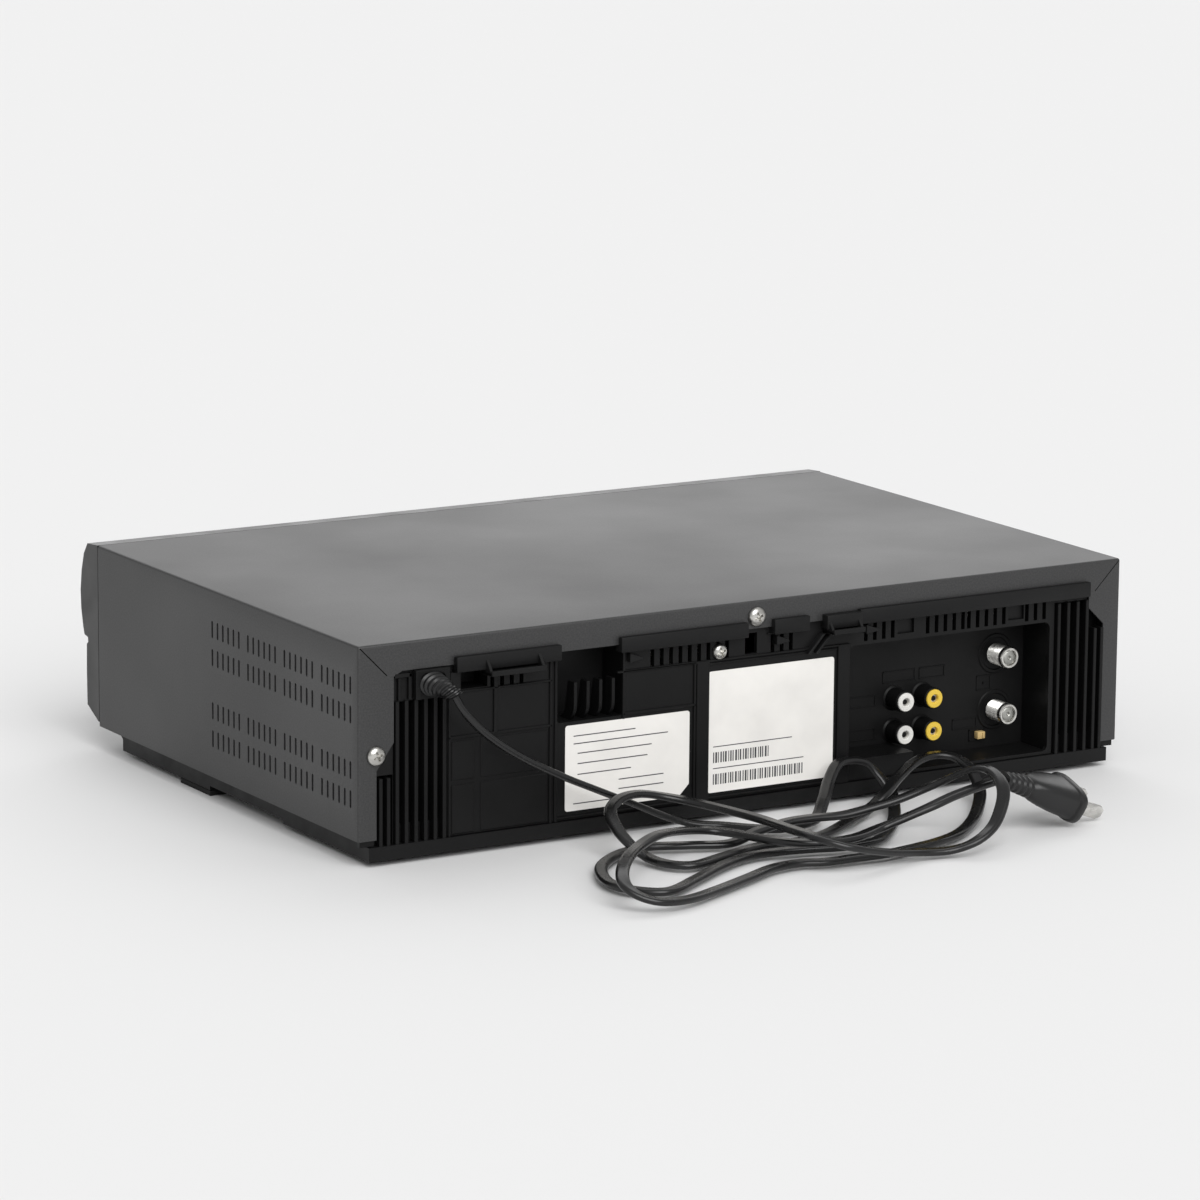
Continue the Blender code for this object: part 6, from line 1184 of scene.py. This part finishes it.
    def ledges(self):
        """Textured bars over the lip, the two cord hooks and the small barbs."""
        shape = bmesh.new()
        face = REAR_Y + LEDGE_PROUD
        back = PANEL_FACE - SINK
        lip = REAR_Y + LEDGE_SEAT
        upper = TOP_Z - LIP_TOP - LEDGE_SEAT
        for x0, x1 in LEDGES:
            top = TOP_Z - LEDGE_TOP
            low = top - LEDGE_HEIGHT
            outline = ((back, low), (face, low), (face, top), (lip, top), (lip, upper), (back, upper))
            pushed(shape, outline, 0, x0, x1, LEDGE_EDGE, 2)
        piece("ledge_bars", shape, "ledge", smooth=40.0)
        shape = bmesh.new()
        for x0, x1 in HOOKS:
            self.hook(shape, x0, x1, face)
        for x in BARBS:
            barb = [(x + across, TOP_Z - BARB_FOOT + up) for across, up in BARB_OUTLINE]
            pushed(shape, barb, 1, back, PANEL_FACE + BARB_PROUD, SMALL_EDGE)
        for x in STRUTS:
            strut = [(x + across, TOP_Z - drop) for across, drop in STRUT_OUTLINE]
            pushed(shape, strut, 1, back, PANEL_FACE + STRUT_PROUD, SMALL_EDGE)
        raised(shape, LATCH, face + LATCH_PROUD, PANEL_FACE, LEDGE_EDGE, 2)
        piece("cord_hooks", shape, "ledge")

    def hook(self, shape, x0, x1, face):
        """A shelf with a turned-up lip, and a gusset above each of its ends."""
        low = TOP_Z - HOOK_FOOT
        tip = REAR_Y + HOOK_REACH
        back = PANEL_FACE - SINK
        outline = ((back, low), *((tip - inset, low + up) for inset, up in HOOK_OUTLINE),
                   (back, low + HOOK_THICKNESS))
        pushed(shape, outline, 0, x0, x1, SMALL_EDGE)
        ledge = TOP_Z - LEDGE_TOP
        gusset = ((PANEL_FACE, low + GUSSET_RISE[0]), (tip - GUSSET_INSET, low + GUSSET_RISE[1]),
                  (face - SINK, ledge - GUSSET_DROP[1]), (PANEL_FACE, ledge - GUSSET_DROP[0]))
        for left in (x0, x1 - GUSSET_WIDTH):
            pushed(shape, gusset, 0, left, left + GUSSET_WIDTH, SMALL_EDGE)

    def cord_inlet(self):
        """The block that the boot comes out of, with an arch round it, and the clip beside it."""
        body = bmesh.new()
        raised(body, INLET_BLOCK, REAR_Y + INLET_PROUD, edge=BLOCK_EDGE)
        arch = bmesh.new()
        left, right, top, low = INLET_ARCH
        outline = span(left, right, top, low, INLET_ARCH_CORNER)
        pushed(arch, outline, 1, REAR_Y + INLET_ARCH_PROUD, REAR_Y + OVERRUN, 0.0)
        shape = carve(body, [arch])
        for bar in CLIP_BARS:
            raised(shape, bar, PANEL_FACE + CLIP_PROUD)
        piece("inlet_block", shape, "panel")


class RECORDER_OT_labels(bpy.types.Operator):
    """Two bare paper labels with plain rules and bars"""
    bl_idname = "recorder.labels"
    bl_label = "Labels"

    def execute(self, context):
        left, right, top, low = RATING_PAPER
        outline = ((left, TOP_Z - low + RATING_CUT), (left + RATING_CUT, TOP_Z - low), (right, TOP_Z - low),
                   (right, TOP_Z - top), (left, TOP_Z - top))
        self.paper("rating_paper", "rating_label", rounded(outline, PAPER_CORNER))
        self.paper("serial_paper", "serial_label", span(*SERIAL_PAPER, PAPER_CORNER))
        ink = bmesh.new()
        for drop, start, end in RATING_RULES:
            self.rule(ink, start, end, drop, RATING_RULE_WEIGHT)
        for drop, rule_end, bars_end in BAR_ROWS:
            self.rule(ink, rule_end, BAR_START, drop - SERIAL_RULE_LIFT, SERIAL_RULE_WEIGHT)
            x = BAR_START
            number = 0
            while x > bars_end:
                width = BAR_WIDTHS[number % len(BAR_WIDTHS)]
                self.rule(ink, x - width, x, drop, BAR_HEIGHT)
                x -= width + BAR_GAPS[number % len(BAR_GAPS)]
                number += 1
        piece("label_print", ink, "ink")
        return {"FINISHED"}

    def paper(self, name, node, outline):
        shape = bmesh.new()
        face = PANEL_FACE + PAPER_SEAT
        pushed(shape, outline, 1, face, face + PAPER_THICKNESS, 0.0)
        piece(name, shape, "paper", (node,))

    def rule(self, shape, left, right, drop, weight):
        """A printed line or bar, a hair above the paper."""
        face = PANEL_FACE + PAPER_SEAT + INK_FACE
        raised(shape, (left, right, drop, drop + weight), face, face - INK_DEPTH, 0.0)


class RECORDER_OT_sockets(bpy.types.Operator):
    """Phono jacks, threaded aerial sockets and the channel switch"""
    bl_idname = "recorder.sockets"
    bl_label = "Sockets"

    def execute(self, context):
        sleeves = bmesh.new()
        pins = bmesh.new()
        for colour, x in zip(("white", "yellow"), PHONO_X):
            inserts = bmesh.new()
            for drop in PHONO_DROP:
                place = rearward(x, RECESS_FLOOR, TOP_Z - drop)
                lathe(sleeves, PHONO_SLEEVE, place)
                lathe(inserts, PHONO_INSERT, place)
                lathe(pins, PHONO_CONTACT, place)
            piece(f"{colour}_inserts", inserts, colour)
        piece("phono_sleeves", sleeves, "panel", ("phono_jack_block",))
        piece("phono_contacts", pins, "screw")
        self.aerials()
        self.switch()
        return {"FINISHED"}

    def aerials(self):
        """Two threaded sockets on the metal can behind the recess."""
        profile = [*AERIAL_FOOT]
        height = AERIAL_FOOT[-1][1]
        while height < THREAD_END:
            profile.extend((radius, height + rise) for radius, rise in (THREAD_CREST, THREAD_ROOT))
            height += THREAD_PITCH
        profile.extend(AERIAL_COLLAR)
        threads = bmesh.new()
        cores = bmesh.new()
        bases = bmesh.new()
        for drop in AERIAL_DROP:
            place = rearward(AERIAL_X, RECESS_FLOOR, TOP_Z - drop)
            for shape, outline in ((threads, profile), (cores, AERIAL_CORE), (bases, AERIAL_BASE)):
                lathe(shape, outline, place)
        piece("aerial_threads", threads, "socket", ("rf_modulator",), smooth=20.0)
        piece("aerial_cores", cores, "zinc")
        # The aerial bases take the darker recess finish: painted shade
        piece("aerial_bases", bases, "panel_shaded")
        can = bmesh.new()
        low, high = (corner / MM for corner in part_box("rf_modulator"))
        block(can, (low.x, low.y, CAN_FOOT), (high.x, RECESS_FLOOR - CAN_GAP, high.z), CAN_EDGE, 2)
        piece("modulator_can", can, "zinc")

    def switch(self):
        """The sliding knob and the thin rim of its slot."""
        x, drop = SWITCH_PLACE
        z = TOP_Z - drop
        floor = RECESS_FLOOR
        half, rise = KNOB_HALF
        knob = bmesh.new()
        block(knob, (x - half, floor - KNOB_SINK, z - rise), (x + half, floor + KNOB_PROUD, z + rise),
              BLOCK_EDGE, 2)
        grip_left, grip_right, grip_rise, grip_proud = KNOB_GRIP
        block(knob, (x + grip_left, floor + KNOB_PROUD - FRAME_SINK, z - grip_rise),
              (x + grip_right, floor + grip_proud, z + grip_rise), GRIP_EDGE)
        piece("switch_knob", knob, "tan", ("channel_switch",), body="channel_switch")
        rim = bmesh.new()
        left, right, top, low = x - RIM_LEFT, x + RIM_RIGHT, drop - RIM_HALF, drop + RIM_HALF
        for bar in ((left, right, low - RIM_LINE, low), (left, right, top, top + RIM_LINE),
                    (left, left + RIM_LINE, top, low), (right - RIM_LINE, right, top, low)):
            raised(rim, bar, floor + RIM_PROUD, floor - FRAME_SINK, RIM_EDGE)
        piece("switch_rim", rim, "panel")


class RECORDER_OT_screws(bpy.types.Operator):
    """Pan-head screws with a cross recess"""
    bl_idname = "recorder.screws"
    bl_label = "Screws"

    def execute(self, context):
        for node, name, radius in SCREWS:
            low, high = (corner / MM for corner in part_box(node))
            place = rearward((low.x + high.x) / 2, high.y - SCREW_HEIGHT, (low.z + high.z) / 2)
            head = [(radius * share, height) for share, height in SCREW_HEAD_SHARES]
            body = bmesh.new()
            lathe(body, ((0.0, -SCREW_LENGTH), (SCREW_SHANK, -SCREW_LENGTH), (SCREW_SHANK, 0.0), *head,
                         (0.0, SCREW_HEIGHT)), place)
            for turn in (CROSS_TURN, CROSS_TURN + math.pi / 2):
                bar = bmesh.new()
                block(bar, CROSS_LOW, CROSS_HIGH, 0.0)
                bmesh.ops.transform(bar, matrix=place @ Matrix.Rotation(turn, 4, "Z"), verts=bar.verts)
                body = carve(body, [bar])
            piece(name, body, "screw", (node,))
        return {"FINISHED"}


class RECORDER_OT_finishes(bpy.types.Operator):
    """A procedural finish on every solid that keeps its own shape"""
    bl_idname = "recorder.finishes"
    bl_label = "Finishes"

    def execute(self, context):
        looks = {
            "base": ("base_tray",),
            "rubber": ("foot_front_left", "foot_front_right", "foot_rear_left", "foot_rear_right",
                       "capstan_belt", "pinch_roller"),
            "bezel": ("front_bezel", "cassette_door"),
            "lens": ("display_window",),
            "button": ("power_button", "eject_button", "rewind_button", "play_button", "forward_button",
                       "record_button", "channel_up_button", "channel_down_button"),
            "board": ("main_board", "power_board", "front_board"),
            "winding": ("power_transformer",),
            "panel": ("filter_capacitor", "cassette_basket"),
            "zinc": ("deck_chassis", "lower_drum", "idler_arm", "pinch_arm", "tension_arm", "loading_motor",
                     "carriage_side_left", "carriage_side_right", "carriage_slider"),
            "screw": ("upper_drum", "capstan", "erase_head", "audio_head"),
            "nylon": ("clutch_pulley", "supply_reel", "takeup_reel", "idler_gear", "supply_post",
                      "takeup_post", "cam_gear"),
        }
        for look, nodes in looks.items():
            for node in nodes:
                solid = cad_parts[node]
                solid.data.materials.clear()
                solid.data.materials.append(finish(look))
        return {"FINISHED"}


class RECORDER_PT_panel(bpy.types.Panel):
    """Lists the recorder's operators"""
    bl_label = "Recorder"
    bl_idname = "RECORDER_PT_panel"
    bl_space_type = "VIEW_3D"
    bl_region_type = "UI"
    bl_category = "Recorder"

    def draw(self, context):
        for name in STEPS:
            self.layout.operator(f"recorder.{name}")


STEPS = ("stage", "plug", "cord", "cover", "panel", "labels", "sockets", "screws", "finishes")
CLASSES = (RecorderSizes, RecorderColours, RECORDER_OT_stage, RECORDER_OT_cord, RECORDER_OT_plug,
           RECORDER_OT_cover, RECORDER_OT_panel, RECORDER_OT_labels, RECORDER_OT_sockets, RECORDER_OT_screws,
           RECORDER_OT_finishes, RECORDER_PT_panel)


def register():
    for item in CLASSES:
        bpy.utils.register_class(item)
    bpy.types.Scene.recorder_sizes = bpy.props.PointerProperty(type=RecorderSizes)
    bpy.types.Scene.recorder_colours = bpy.props.PointerProperty(type=RecorderColours)


def unregister():
    del bpy.types.Scene.recorder_colours
    del bpy.types.Scene.recorder_sizes
    for item in reversed(CLASSES):
        bpy.utils.unregister_class(item)


def main():
    register()
    for name in STEPS:
        getattr(bpy.ops.recorder, name)()


if __name__ == "__main__":
    main()
